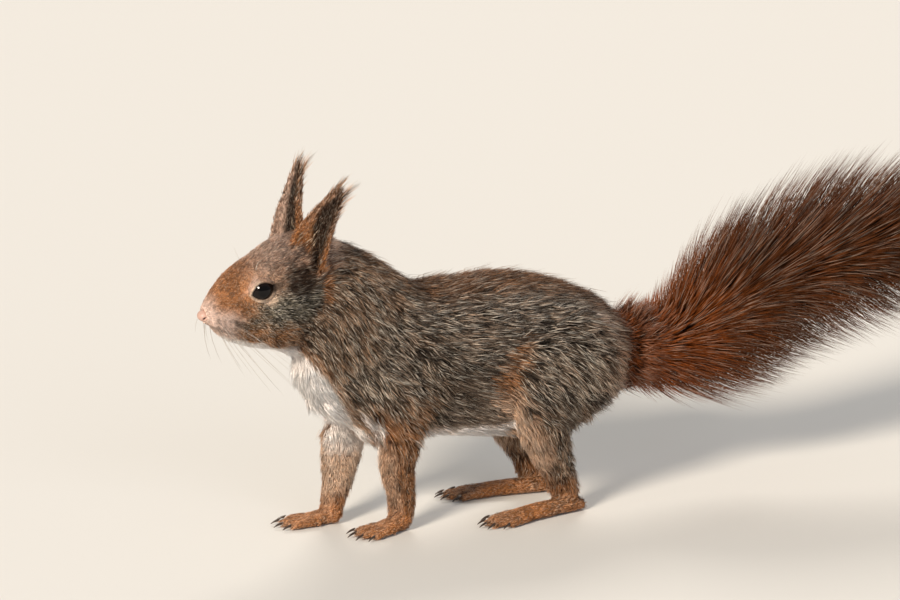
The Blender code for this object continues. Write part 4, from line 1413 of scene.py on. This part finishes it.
def lamp(name, place, breadth, strength, colour):
    """A far, broad lamp in the direction of place, as many degrees across as breadth, so that
    its light is even over the floor."""
    data = bpy.data.lights.new(name, "SUN")
    data.angle = math.radians(breadth)
    data.energy = strength
    data.color = linear(colour)[:3]
    return turned_to(new_object(name, data), place, place)


def make_setting():
    """A pale plain floor, a pale sky and soft studio lights, in metres."""
    bpy.ops.mesh.primitive_plane_add(size=30, location=(0, 0, -0.0002))
    floor = bpy.context.object
    floor.name = "studio_floor"
    floor.data.materials.append(new_finish("studio_paper", paper_finish))

    scene = bpy.context.scene
    scene.world = scene.world or bpy.data.worlds.new("studio")
    scene.world.use_nodes = True
    tree = scene.world.node_tree
    feed(tree, tree.nodes["Background"], {"Color": linear("#dfe4ea"), "Strength": 0.38})
    lamp("key", (-2.6, -1.8, 1.8), 14, 4.2, "#fff3e2")
    fill = lamp("fill", (0.2, -1.3, 0.6), 38, 0.55, "#eaf1ff")
    fill.visible_glossy = False
    lamp("back", (1.0, 2.0, 1.8), 24, 1.4, "#fff8ee")
    scene.view_settings.view_transform = "Standard"


def make_camera():
    """A long lens, low on the squirrel's left and ahead of it, with its eye near the middle of
    the upper left; the tail's end runs out of the frame."""
    turn, lift = math.radians(-24), math.radians(16)
    distance, wide = 4.0, 0.360       # metres; wide is the frame's width at the squirrel
    sensor = 36
    level = math.cos(lift)
    back = Vector((math.sin(turn) * level, -math.cos(turn) * level, math.sin(lift)))
    aim = Vector(((7.8 + ZERO[0]) * MM, ZERO[1] * MM, 89.8 * MM))
    data = bpy.data.cameras.new("camera")
    data.sensor_width = sensor
    data.lens = sensor * distance / wide
    data.clip_end = 50
    obj = turned_to(new_object("camera", data), aim + back * distance, back)
    bpy.context.scene.camera = obj


# ---------------------------------------------------------------- the whole squirrel

def main():
    """The skin, its markings and painted shade, and the lie of its coat, and every piece from them.
    """
    line = TailLine()
    points, tris, kinds, edges = skin_form({name: solid(name) for name in FLESH}, line)
    points, seam = press_mouth(open_lids(points), kinds)
    points[:, 2] = np.maximum(points[:, 2], 0.0)
    normals = normals_of(points, tris)
    tones = smoothed(markings_and_painted_shade(points, normals, kinds, seam), edges, 2)
    make_skin(points, tris, tones)
    flow = lie_of_coat(points, smoothed(normals, edges, 4), kinds, edges, line)
    traits = coat_traits(points, normals, kinds, edges, seam)
    skin = (points, tris, normals, flow, traits, tones)
    x, y, _ = points[tris].mean(1).T
    part = kinds[tris[:, 0]]
    for number, (name, (parts, side, count)) in enumerate(STRETCHES.items()):
        chosen = np.isin(part, parts) & (y * side >= 0) & (x < COAT_END)
        fur(name, skin, chosen, count, SEED + number)
    for number, (name, (reach, count)) in enumerate(TAIL_STRETCHES.items()):
        tail_fur(name, line, reach, count, TAIL_SEED + number)
    ear_tufts("coat_ear_tufts", EAR_TUFTS, EAR_SEED)
    for side in SIDES:
        make_eye(side)
    make_nose()
    make_claws()
    make_whiskers(points)


make_camera()
make_setting()
main()
